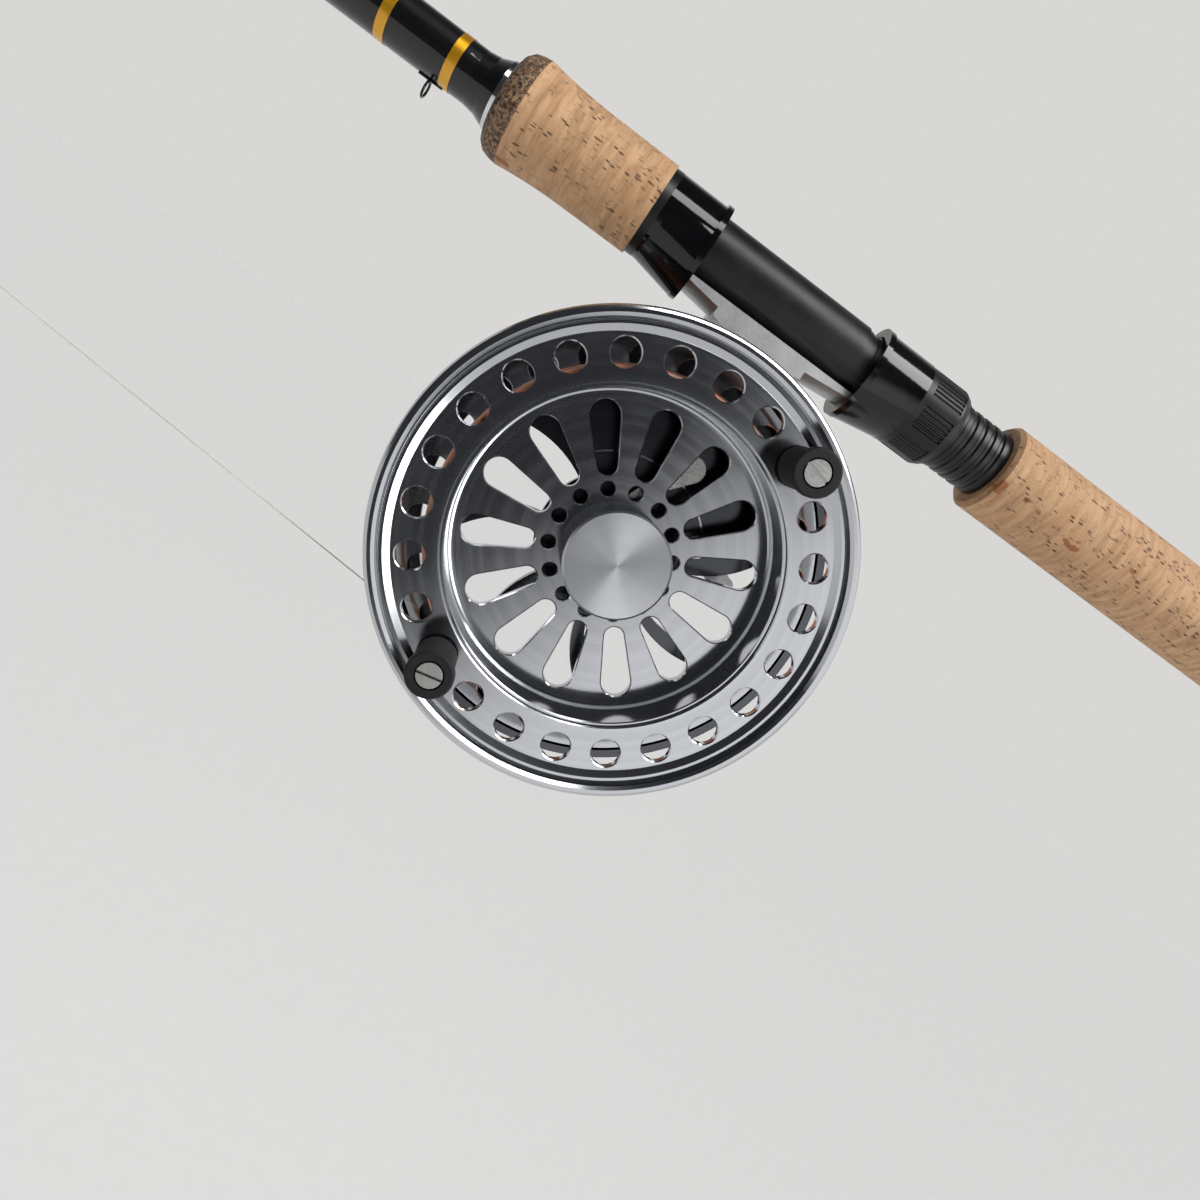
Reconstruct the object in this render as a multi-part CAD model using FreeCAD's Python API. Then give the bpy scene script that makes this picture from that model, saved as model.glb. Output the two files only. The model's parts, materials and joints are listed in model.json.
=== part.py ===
import FreeCAD, Part
import math
import os

# Two-piece float rod with a centrepin reel.
# X runs along the rod: tip towards -X, butt towards +X. Z is up, and the reel hangs below the rod.
# Stations along the rod are measured from the reel's axis. save() moves every piece so that the
# origin is on the rod's axis in the middle of the rear grip. Millimetres throughout.

Vec = FreeCAD.Vector
AXIS_X = Vec(1, 0, 0)
AXIS_Y = Vec(0, 1, 0)

# ---- overall sizes ----
rod_length = 2743.0
reel_outer_r = 57.15
reel_drop = reel_outer_r + 13.25   # reel axis below the rod axis
face_offset = -16.2       # the drum's front face, along Y from the rod axis

# ---- clearances ----
running = 0.05
slide_gap = 0.15
free_gap = 0.3

# ---- blank ----
blank_r = 5.7
blank_joint_r = 4.1
blank_tip_r = 1.1
blank_wall = 1.1
tip_bore_share = 0.55
spigot_half = 45.0
spigot_neck = 6.0
joint_wrap = 15.0
joint_wrap_t = 0.45
wrap_end_t = 0.12         # thickness that a winding feathers out to

# ---- foregrip end ----
grip_front = -72.1
burl_length = 5.6
burl_front_r = 8.6
foregrip_front_r = 12.3
foregrip_r = 11.15
foregrip_waist = 17.0     # length of the taper behind the front of the cork
check_length = 1.0
check_r = 8.0
trim_length = 2.0
trim_r = 10.6
wrap_r = blank_r + 0.45
wrap_length = 46.0
wrap_flare = 6.0
band_width = 2.4
band_t = 0.12
band_stations = (-106.1, -89.6)
keeper_station = -92.6
keeper_loop_r = 2.2
keeper_wire_r = 0.3
keeper_foot = 6.0

# ---- reel seat ----
seat_r = 8.85
hood_front = -35.4
hood_mouth = -21.75
seat_step = 20.7
seat_step_r = seat_r - 0.45
thread_start = 24.0
seat_step_length = 1.3
thread_crest_r = seat_r - 0.2
thread_floor_r = seat_r - 0.6
thread_root_r = seat_r - 0.7
thread_pitch = 2.83
hood_r = seat_r + 1.75
hood_lip_r = hood_r + 0.65
hood_lip_length = 1.5
pocket_drop = 1.7         # how far the pocket's round back is below the rod axis
pocket_r = hood_r + 0.5
slider_mouth = 24.7
slider_length = 13.9
slider_rear_r = hood_r + 0.2
nut_length = 13.3
nut_r = hood_r
nut_land = 1.7
nut_rib_depth = 0.45
nut_rear_land = 2.6
nut_rear_step = 0.7
nut_rear_drop = 1.5
nut_flutes = 56
nut_group = 7             # five ribs, then two places left smooth
nut_smooth = 2
hood_travel = 12.5
hood_travel_spare = 1.5   # bare thread left when the nut is all the way back

# ---- reel foot ----
foot_half_width = 7.1
foot_hollow_r = 14.8
foot_block_half = 8.7
foot_t_root = 2.75
foot_t_mouth = 1.15
foot_t_end = 0.8
tongue_front = 6.5
tongue_rear = 6.5
tongue_room = 0.6
scallop_r = 4.0
foot_screw_r = 1.5
foot_screw_head_r = 2.6
foot_screw_x = 5.0
foot_screw_z = -12.0
foot_screw_depth = 6.5
foot_screw_head_t = 1.6
lug_above_screws = 3.0

# ---- rear grip ----
rear_grip_length = 230.0
rear_grip_r = 11.8
rear_burl_length = 6.0
butt_cap_length = 26.0
butt_cap_wall = 2.0
butt_cap_r = 11.6
butt_cap_round = 5.0
cork_chamfer = 1.0

# ---- guides ----
guide_count = 9
first_guide = -695.0
tip_gap = 90.0            # tip ring to the guide beside it
ring_r_tip = 2.0
ring_r_butt = 5.6
guide_height_tip = 7.0
guide_height_butt = 24.0
ring_wall = 0.7
ring_width = 1.6
ring_edge = 0.3
holder_wall = 0.7
leg_r = 0.7
leg_base = 8.0            # how far the shortest leg's foot stands from its ring
leg_slope = 0.55          # and how much further for each millimetre of drop
leg_foot_half = 1.1
leg_clock = 23.0          # where a leg leaves the ring's side, in degrees above level
foot_strip = 13.0
foot_strip_t = 0.7
wrap_past_foot = 4.0
wrap_ramp = 3.0
guide_wrap_t = 0.95
big_guides = 4            # guides that are sub-parts of their own
tip_tube_length = 9.0
tip_tube_r = 1.85
tip_cap = 0.8
tip_ring_r = 2.0
tip_ring_ahead = 3.0
tip_ring_gap = 1.4        # between the tip ring's holder and the rod's axis
tip_arm_r = 0.4

# ---- line ----
line_r = 0.15
line_bend_r = 60.0
line_lane = 12.0          # depth behind the drum's face where the line leaves the spool
line_seat = 0.12          # between the line and the lowest point of a ring
line_over_tip = 3.6       # how far past the tip ring the line turns down
pack_r = 43.6
line_tail = (-3.5, -5.0)  # the run from the tip down to the swivel, along X and Z
swivel_length = 14.0
swivel_barrel_r = 1.25
swivel_eye_r = 1.3
swivel_eye_wire_r = 0.35
knot_r = 0.55

# ---- drum, depths behind its front face ----
bead_inner_r = reel_outer_r - 2.65
bead_proud = 3.0
flange_t = 2.2
lip_r = reel_outer_r - 3.95
lip_proud = 0.6
band_inner_r = reel_outer_r - 6.05
ring_edge_r = 40.7
recess_r = 39.5
arbor_r = 41.4
web_front = 13.1
web_t = 2.4
drum_depth = 18.2
rim_hole_r = 3.5
rim_hole_pitch_r = 46.9
rim_hole_count = 24
rim_hole_phase = 1.9
edge_break = 0.28        # chamfer round every hole of the drum
slot_count = 14
slot_phase = -1.7
slot_inner_pitch = 21.3
slot_outer_pitch = 33.1
slot_inner_r = 2.5
slot_outer_r = 3.75
web_hole_pitch_r = 15.5
web_hole_r = 1.77
hub_r = 9.5
hub_front = 8.0
hub_rear = 21.5
bearing_r = 6.0
bearing_width = 4.0
bearing_inset = 0.6
bearing_rear_inset = 0.1
spacer_wall = 1.2
pin_r = 3.0
pin_shoulder_r = 4.2
rear_flange_r = reel_outer_r - 4.55
rear_flange_t = 2.0
flange_screw_r = 0.6
flange_screw_depth = 4.0
flange_screw_count = 4
flange_screw_start = 45.0

# ---- cap ----
cap_r = 12.6
cap_face = -5.5
cap_chamfer = 0.5
cap_groove_count = 60
cap_groove_r = 0.28
cap_groove_margin = 1.6
cap_room_r = 5.2
cap_room = 3.0
collar_r = 4.3
collar_width = 1.9
pin_nut_across = 5.5      # half the width across the rear nut's flats
pin_nut_corner_r = 6.0
pin_nut_width = 2.2
pin_rear_reach = 2.6
pin_front_reach = 2.0
pin_end_bevel = 0.5

# ---- handles ----
handle_angles = (61.9, 241.9)
spindle_r = 1.6
handle_boss_r = 4.0
handle_boss = 1.3
knob_r = 4.9
knob_tip_r = 5.5
knob_tip_length = 3.0
knob_face = -16.2
knob_recess_r = 3.35
knob_recess = 1.3
knob_screw_r = 2.95
knob_edge = 0.6
knob_slot_depth = 0.9
knob_slot_angles = (-13.0, 9.0)   # how each handle's screw slot lies, from +X towards +Z
handle_hole_room = 5.0    # no rim hole is drilled this near a handle, in degrees

# ---- backplate ----
plate_front = 22.4
plate_t = 2.6
rim_r = reel_outer_r - 1.75
rim_wall = 2.0
rim_front = 18.4
plate_ring_r = rim_r - 7.9
plate_hub_r = 17.5
plate_land_r = 24.5
plate_land_t = 0.5
plate_boss_r = 8.5
plate_boss_rear = 31.0
window_count = 5
window_start = 165.0
window_span = 235.0
spoke_angle = 8.0
spoke_skew = 22.0
lug_half = 8.7
lug_t = 2.2

# ---- check (the click) ----
ratchet_r = 12.6
ratchet_root = 1.0
ratchet_t = 3.0
ratchet_teeth = 36
pawl_pivot = (5.6, 27.8)
pawl_tip = (-3.0, 14.2)
pawl_front = 17.3
pawl_t = 1.5
pawl_head_r = 3.4
pawl_nose_r = 0.8
pawl_screw_head_r = 2.9
post_r = 1.5
spring_wire_r = 0.25
spring_r = 2.3
spring_turns = 3
pawl_screw_head_t = 1.1
pawl_slot_depth = 0.6
slot_half = 0.4           # half the width of every screw's slot
lever_pivot = (18.7, 12.6)
lever_shaft_r = 2.0
lever_lobe_r = 6.0
lever_washer_r = 3.0
lever_arm = 13.0
lever_t = 1.6
lever_knob_r = 2.6
lever_knob_h = 4.0
lever_drop_share = 0.35   # how far the arm droops, over its length
lever_root_r = 3.4
lever_end_r = 2.4
lever_washer_t = 1.2

# ---- worked-out places ----
grip_front_end = grip_front - burl_length
check_front = grip_front_end - check_length
trim_front = hood_front - trim_length
slider_end = slider_mouth + slider_length
nut_end = slider_end + nut_length
rear_grip_front = nut_end + hood_travel + hood_travel_spare
rear_grip_end = rear_grip_front + rear_grip_length
rear_burl_end = rear_grip_end + rear_burl_length
butt_end = rear_burl_end + butt_cap_length
rod_tip = butt_end - rod_length
rod_joint = (butt_end + rod_tip) / 2
origin_station = (rear_grip_front + rear_grip_end) / 2
foot_top = -seat_r


# ---------------------------------------------------------------- helpers
def save(node, solids):
    """Write one sub-part, moved so that the origin is in the middle of the rear grip."""
    shape = Part.makeCompound(solids) if isinstance(solids, list) else solids
    moved = shape.copy()
    moved.translate(Vec(-origin_station, 0, 0))
    moved.exportStep("parts/" + node + ".step")


def rod_x(r, x0, x1):
    return Part.makeCylinder(r, x1 - x0, Vec(x0, 0, 0), AXIS_X)


def tube_x(outer, inner, x0, x1):
    return rod_x(outer, x0, x1).cut(rod_x(inner, x0 - 1, x1 + 1))


def rod_y(r, y0, y1, x=0.0, z=0.0):
    return Part.makeCylinder(r, y1 - y0, Vec(x, y0, z), AXIS_Y)


def tube_y(outer, inner, y0, y1, x=0.0, z=0.0):
    return rod_y(outer, y0, y1, x, z).cut(rod_y(inner, y0 - 1, y1 + 1, x, z))


def block(x0, x1, y0, y1, z0, z1):
    return Part.makeBox(x1 - x0, y1 - y0, z1 - z0, Vec(x0, y0, z0))


def turned_x(outline):
    """Turn an outline of (station, radius) points about the rod's axis."""
    points = [Vec(x, 0, r) for x, r in outline]
    return Part.Face(Part.makePolygon(points + points[:1])).revolve(Vec(0, 0, 0), AXIS_X, 360)


def turned_y(outline):
    """Turn an outline of (radius, depth) points about the Y axis."""
    points = [Vec(r, y, 0) for r, y in outline]
    return Part.Face(Part.makePolygon(points + points[:1])).revolve(Vec(0, 0, 0), AXIS_Y, 360)


def polar(r, degrees):
    """The (x, z) place at an angle from +X towards +Z about the Y axis."""
    a = math.radians(degrees)
    return r * math.cos(a), r * math.sin(a)


def fused(shapes):
    return shapes[0].multiFuse(shapes[1:]).removeSplitter() if len(shapes) > 1 else shapes[0]


def in_reel(shape):
    """Move a shape from the reel's own axes to its place under the rod."""
    moved = shape.copy()
    moved.translate(Vec(0, face_offset, -reel_drop))
    return moved


def turned_about_y(shape, degrees):
    """Turn a shape about the Y axis from +X towards +Z."""
    moved = shape.copy()
    moved.rotate(Vec(0, 0, 0), AXIS_Y, -degrees)
    return moved


# ---------------------------------------------------------------- rod
def blank_radius(x):
    """Outer radius of the blank: parallel in the handle, then an even taper to the tip."""
    if x >= check_front:
        return blank_r
    if x >= rod_joint:
        share = (check_front - x) / (check_front - rod_joint)
        return blank_r + (blank_joint_r - blank_r) * share
    share = (rod_joint - x) / (rod_joint - rod_tip)
    return blank_joint_r + (blank_tip_r - blank_joint_r) * share


def blanks():
    inner_joint = blank_joint_r - blank_wall
    butt_rear = butt_end - butt_cap_wall
    butt = turned_x([
        (rod_joint, inner_joint), (rod_joint, blank_joint_r), (check_front, blank_r),
        (butt_rear, blank_r), (butt_rear, blank_r - blank_wall), (check_front, blank_r - blank_wall)])
    tip = turned_x([
        (rod_tip, blank_tip_r * tip_bore_share), (rod_tip, blank_tip_r),
        (rod_joint - spigot_neck, blank_radius(rod_joint - spigot_neck)),
        (rod_joint - spigot_neck, inner_joint), (rod_joint - spigot_half, inner_joint)])
    spigot = rod_x(inner_joint, rod_joint - spigot_half, rod_joint + spigot_half).cut(butt)
    return butt, tip, spigot


def sleeve(x0, x1, thickness, ramp):
    """A smooth varnished winding over the blank, feathered to nothing much at both ends."""
    rise = min(ramp, (x1 - x0) / 3)
    over = [(x0, wrap_end_t), (x0 + rise, thickness), (x1 - rise, thickness), (x1, wrap_end_t)]
    outer = [(x, blank_radius(x) + t) for x, t in over]
    inner = [(x, blank_radius(x)) for x, t in reversed(over)]
    return turned_x(outer + inner)


def butt_whipping():
    front = check_front - wrap_length
    flare = check_front - wrap_flare
    under = [(check_front, blank_r), (flare, blank_radius(flare)), (front, blank_radius(front))]
    over = [(front, blank_radius(front) + 0.15), (front + 4, wrap_r), (flare, wrap_r),
            (check_front - wrap_flare / 2, wrap_r + 0.45), (check_front, check_r - 0.15)]
    return turned_x(over + under)


def keeper_ring():
    """A small wire loop under the blank, with its two feet bound in the whipping."""
    drop = wrap_r + keeper_loop_r - keeper_wire_r
    loop = Part.makeTorus(keeper_loop_r - keeper_wire_r, keeper_wire_r,
                          Vec(keeper_station, 0, -drop - keeper_wire_r), AXIS_X)
    bar_start = Vec(keeper_station - keeper_foot / 2, 0, -wrap_r - keeper_wire_r * 0.6)
    bar = Part.makeCylinder(keeper_wire_r, keeper_foot, bar_start, AXIS_X)
    return fused([loop, bar])


def foregrip():
    burl = turned_x([
        (grip_front_end, blank_r), (grip_front_end, burl_front_r),
        (grip_front_end + 0.6, burl_front_r + 1.6),
        (grip_front_end + 1.9, burl_front_r + 2.9), (grip_front_end + 3.6, foregrip_front_r - 0.25),
        (grip_front, foregrip_front_r), (grip_front, blank_r)])
    steps = 6
    waist = []
    for i in range(steps + 1):
        share = i / steps
        r = foregrip_r + (foregrip_front_r - foregrip_r) * (1 - share) ** 2
        waist.append((grip_front + foregrip_waist * share, r))
    cork = turned_x([(grip_front, blank_r)] + waist + [(trim_front, foregrip_r), (trim_front, blank_r)])
    return burl, cork


def rear_grip():
    cork = turned_x([
        (rear_grip_front, blank_r), (rear_grip_front, rear_grip_r - cork_chamfer),
        (rear_grip_front + cork_chamfer, rear_grip_r), (rear_grip_end, rear_grip_r),
        (rear_grip_end, blank_r)])
    burl = tube_x(rear_grip_r, blank_r, rear_grip_end, rear_burl_end)
    cap = turned_x([
        (rear_burl_end, blank_r), (rear_burl_end, butt_cap_r),
        (butt_end - butt_cap_round, butt_cap_r),
        (butt_end - butt_cap_round * 0.35, butt_cap_r - butt_cap_round * 0.3),
        (butt_end, butt_cap_r - butt_cap_round),
        (butt_end, 0), (butt_end - butt_cap_wall, 0), (butt_end - butt_cap_wall, blank_r)])
    return cork, burl, cap


# ---------------------------------------------------------------- reel seat
def seat_tube():
    """The seat's barrel: plain at the front, two small steps, then a rounded thread."""
    step_end = seat_step + seat_step_length
    outline = [(hood_front, blank_r), (hood_front, seat_r), (seat_step, seat_r), (seat_step, seat_step_r),
               (step_end, seat_step_r), (step_end, thread_root_r), (thread_start, thread_root_r),
               (thread_start, thread_crest_r)]
    turns = int((rear_grip_front - thread_start) / thread_pitch)
    for turn in range(turns):
        x = thread_start + turn * thread_pitch
        outline.append((x + thread_pitch * 0.42, thread_crest_r))
        outline.append((x + thread_pitch * 0.58, thread_floor_r))
        outline.append((x + thread_pitch * 0.84, thread_floor_r))
        outline.append((x + thread_pitch, thread_crest_r))
    outline.append((rear_grip_front, thread_crest_r))
    outline.append((rear_grip_front, blank_r))
    return turned_x(outline)


def foot_cavity(x0, x1):
    """The room that a hood leaves for the barrel and for the foot's tongue."""
    back = foot_hollow_r + foot_t_mouth + slide_gap
    centre = foot_top + foot_hollow_r
    side = foot_half_width + slide_gap
    slot = block(x0, x1, -side, side, -pocket_r * 2, 0)
    round_back = Part.makeCylinder(back, x1 - x0, Vec(x0, 0, centre), AXIS_X)
    return rod_x(seat_r + slide_gap, x0, x1).fuse(slot.common(round_back))


def egg(r_round, r_pocket, drop, x0, x1):
    """A round sleeve with a fuller belly where the pocket is."""
    belly = Part.makeCylinder(r_pocket, x1 - x0, Vec(x0, 0, -drop), AXIS_X)
    return rod_x(r_round, x0, x1).fuse(belly)


def belly(x0, r0, drop0, x1, r1, drop1):
    """A slanting cone between two circles, each as far below the rod's axis as it says."""
    rings = [Part.Wire([Part.Circle(Vec(x, 0, -drop), AXIS_X, r).toShape()])
             for x, r, drop in ((x0, r0, drop0), (x1, r1, drop1))]
    return Part.makeLoft(rings, True, True)


def fixed_hood():
    body_end = hood_mouth - hood_lip_length
    ramp = belly(hood_front, hood_r - 0.15, 0, body_end + 0.2, pocket_r, pocket_drop)
    lip = egg(hood_lip_r, pocket_r + 0.15, pocket_drop, body_end, hood_mouth)
    body = fused([rod_x(hood_r, hood_front, body_end + 0.2), ramp, lip])
    pocket = foot_cavity(hood_mouth - tongue_front - tongue_room, hood_mouth + 1)
    return body.cut(pocket.fuse(rod_x(seat_r, hood_front - 1, hood_mouth + 1))).removeSplitter()


def movable_hood():
    body_start = slider_mouth + hood_lip_length
    ramp = belly(body_start - 0.2, pocket_r, pocket_drop, slider_end, slider_rear_r - 0.15, 0)
    lip = egg(hood_lip_r, pocket_r + 0.15, pocket_drop, slider_mouth, body_start)
    body = fused([rod_x(slider_rear_r, body_start - 0.2, slider_end), ramp, lip])
    bore = rod_x(seat_r + slide_gap, slider_mouth - 1, slider_end + 1)
    pocket = foot_cavity(slider_mouth - 1, slider_mouth + tongue_rear + tongue_room)
    return body.cut(pocket.fuse(bore)).removeSplitter()


def lock_nut():
    """A knurled nut: a plain front land, groups of ribs between smooth lands, a rounded rear."""
    body = turned_x([
        (slider_end, thread_crest_r + slide_gap), (slider_end, nut_r), (nut_end - nut_rear_land, nut_r),
        (nut_end - nut_rear_land + nut_rear_drop, nut_r - nut_rear_step),
        (nut_end - nut_rear_drop * 0.6, nut_r - nut_rear_drop),
        (nut_end, nut_r - nut_rear_drop), (nut_end, thread_crest_r + slide_gap)])
    pitch = 360.0 / nut_flutes
    rib_length = nut_length - nut_land - nut_rear_land - nut_rib_depth
    cuts = []
    for i in range(nut_flutes):
        if i % nut_group < nut_group - nut_smooth:
            y, z = polar(nut_r, i * pitch)
            start = Vec(slider_end + nut_land, y, z)
            cuts.append(Part.makeCylinder(nut_rib_depth, rib_length, start, AXIS_X))
    return body.cut(Part.makeCompound(cuts))


# ---------------------------------------------------------------- reel foot and backplate
def foot_wing(sign, mouth, end):
    """One wing: a strip hollow-ground to the barrel, thinning from the block to its tongue."""
    centre = foot_top + foot_hollow_r
    root = foot_block_half - 1.0
    spans = [(root, mouth, foot_t_root, foot_t_mouth), (mouth, end, foot_t_mouth, foot_t_end)]
    cones = [Part.makeCone(foot_hollow_r + t0, foot_hollow_r + t1, x1 - x0,
                           Vec(sign * x0, 0, centre), Vec(sign, 0, 0)) for x0, x1, t0, t1 in spans]
    wing = fused(cones)
    low, high = sorted((sign * root, sign * end))
    strip = block(low, high, -foot_half_width, foot_half_width, foot_top * 3, 0)
    return wing.common(strip)


def reel_foot():
    centre = foot_top + foot_hollow_r
    top = face_offset + plate_front + plate_t
    wings = [foot_wing(-1, -hood_mouth, -hood_mouth + tongue_front),
             foot_wing(1, slider_mouth, slider_mouth + tongue_rear)]
    flare = foot_block_half + scallop_r
    base = foot_top - foot_t_root
    stem = block(-flare, flare, -foot_half_width, foot_half_width, -reel_drop, 0)
    out = foot_half_width + 1
    cuts = []
    for s in (-1, 1):
        cuts.append(rod_y(scallop_r, -out, out, s * flare, base - scallop_r))
        x0, x1 = sorted((s * foot_block_half, s * (flare + 1)))
        cuts.append(block(x0, x1, -out, out, -reel_drop - 1, base - scallop_r))
    body = fused([stem.cut(Part.makeCompound(cuts))] + wings)
    hollow = Part.makeCylinder(foot_hollow_r, 200, Vec(-100, 0, centre), AXIS_X)
    seat = in_reel(rod_y(rim_r, -40, 60))
    behind = block(-flare - 1, flare + 1, top - lug_t, out, -reel_drop, foot_screw_z + lug_above_screws)
    body = body.cut(hollow).cut(seat).cut(behind)
    bottom = top - lug_t - foot_screw_depth
    holes = [rod_y(foot_screw_r, bottom, top, s * foot_screw_x, foot_screw_z) for s in (-1, 1)]
    return body.cut(Part.makeCompound(holes)).removeSplitter()


def foot_screws():
    top = face_offset + plate_front + plate_t
    screws = []
    for x in (-foot_screw_x, foot_screw_x):
        shank = rod_y(foot_screw_r, top - lug_t - foot_screw_depth, top, x, foot_screw_z)
        head = rod_y(foot_screw_head_r, top, top + foot_screw_head_t, x, foot_screw_z)
        slot = block(x - foot_screw_head_r - 1, x + foot_screw_head_r + 1,
                     top + foot_screw_head_t * 0.6, top + foot_screw_head_t + 1,
                     foot_screw_z - slot_half, foot_screw_z + slot_half)
        screws.append(shank.fuse(head).cut(slot))
    return screws


def curved_window(a0, a1):
    """One opening of the backplate, between two spokes that sweep round as they go out."""
    r0 = plate_hub_r + 1.5
    r1 = plate_ring_r
    rm = (r0 + r1) / 2

    def at(r, a):
        x, z = polar(r, a)
        return Vec(x, 0, z)

    lean = spoke_skew
    mid = lean * 0.35
    edges = [
        Part.Arc(at(r0, a0), at(r0, (a0 + a1) / 2), at(r0, a1)).toShape(),
        Part.Arc(at(r0, a1), at(rm, a1 + mid), at(r1, a1 + lean)).toShape(),
        Part.Arc(at(r1, a1 + lean), at(r1, (a0 + a1) / 2 + lean), at(r1, a0 + lean)).toShape(),
        Part.Arc(at(r1, a0 + lean), at(rm, a0 + mid), at(r0, a0)).toShape()]
    face = Part.Face(Part.Wire(edges))
    face.translate(Vec(0, plate_front - 1, 0))
    return face.extrude(Vec(0, plate_t + 2, 0))


def backplate():
    rear = plate_front + plate_t
    disc = rod_y(rim_r, plate_front, rear)
    rim = tube_y(rim_r, rim_r - rim_wall, rim_front, rear)
    step = window_span / window_count
    windows = [curved_window(window_start + i * step - spoke_skew + spoke_angle / 2,
                             window_start + (i + 1) * step - spoke_skew - spoke_angle / 2)
               for i in range(window_count)]
    land_front = plate_front - plate_land_t
    washer_room = rod_y(lever_washer_r + free_gap, land_front - 1, plate_front, *lever_pivot)
    pin_room = rod_y(pin_shoulder_r + free_gap, land_front - 1, plate_front)
    disc = disc.fuse(rod_y(plate_land_r, land_front, plate_front))
    disc = disc.cut(Part.makeCompound(windows + [washer_room, pin_room]))
    boss = rod_y(plate_boss_r, rear - 0.1, plate_boss_rear)
    lobe = rod_y(lever_lobe_r, plate_front, rear, *lever_pivot)
    tab_top = reel_drop + foot_screw_z + lug_above_screws
    lug = block(-lug_half, lug_half, rear - lug_t, rear, rim_r - 3, tab_top)
    body = fused([disc, rim, boss, lobe, lug])
    holes = [
        rod_y(pin_r, plate_front - 1, plate_boss_rear + 1),
        rod_y(post_r, plate_front - 1, rear + 1, *pawl_pivot),
        rod_y(lever_shaft_r + running, plate_front - 1, rear + 1, *lever_pivot)]
    for x in (-foot_screw_x, foot_screw_x):
        holes.append(rod_y(foot_screw_r, rear - lug_t - 1, rear + 1, x, reel_drop + foot_screw_z))
    return body.cut(Part.makeCompound(holes)).removeSplitter()


# ---------------------------------------------------------------- drum
def teardrop(angle):
    """A slot that widens outwards, with round ends."""
    r0, r1 = slot_inner_r, slot_outer_r
    d = slot_outer_pitch - slot_inner_pitch
    lean = (r1 - r0) / d
    up = math.sqrt(1 - lean * lean)

    def side(pitch, r, s):
        return Vec(pitch - r * lean, 0, s * r * up)

    inner_end = Vec(slot_inner_pitch - r0, 0, 0)
    outer_end = Vec(slot_outer_pitch + r1, 0, 0)
    edges = [
        Part.LineSegment(side(slot_inner_pitch, r0, 1), side(slot_outer_pitch, r1, 1)).toShape(),
        Part.Arc(side(slot_outer_pitch, r1, 1), outer_end, side(slot_outer_pitch, r1, -1)).toShape(),
        Part.LineSegment(side(slot_outer_pitch, r1, -1), side(slot_inner_pitch, r0, -1)).toShape(),
        Part.Arc(side(slot_inner_pitch, r0, -1), inner_end, side(slot_inner_pitch, r0, 1)).toShape()]
    face = Part.Face(Part.Wire(edges))
    face.translate(Vec(0, web_front - 1, 0))
    return turned_about_y(face.extrude(Vec(0, web_t + 2, 0)), angle)


def is_handle(angle):
    return any(abs((angle - a + 180) % 360 - 180) < handle_hole_room for a in handle_angles)


def rim_hole_places(phase, skip_handles):
    step = 360.0 / rim_hole_count
    angles = [i * step + phase for i in range(rim_hole_count)]
    return [polar(rim_hole_pitch_r, a) for a in angles if not (skip_handles and is_handle(a))]


def rim_holes(y0, y1, phase, skip_handles):
    return [rod_y(rim_hole_r, y0, y1, x, z) for x, z in rim_hole_places(phase, skip_handles)]


def edge_breaks(places, r, y, rear_y):
    """Cones that break the front and rear edges of round holes."""
    cones = []
    size = edge_break + running
    for x, z in places:
        cones.append(Part.makeCone(r + size, r, size, Vec(x, y - running, z), AXIS_Y))
        cones.append(Part.makeCone(r + size, r, size, Vec(x, rear_y + running, z), -AXIS_Y))
    return cones


def chamfered_slots(web):
    """Break the front edges of the web's slots."""
    near = slot_inner_pitch - slot_inner_r - running
    far = slot_outer_pitch + slot_outer_r + running
    edges = []
    for e in web.Edges:
        middle = e.valueAt((e.FirstParameter + e.LastParameter) / 2)
        ends = [v.Point for v in e.Vertexes] + [middle]
        on_front = all(abs(p.y - web_front) < running for p in ends)
        if on_front and near < math.hypot(middle.x, middle.z) < far:
            edges.append(e)
    return web.makeChamfer(edge_break, edges)


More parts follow.
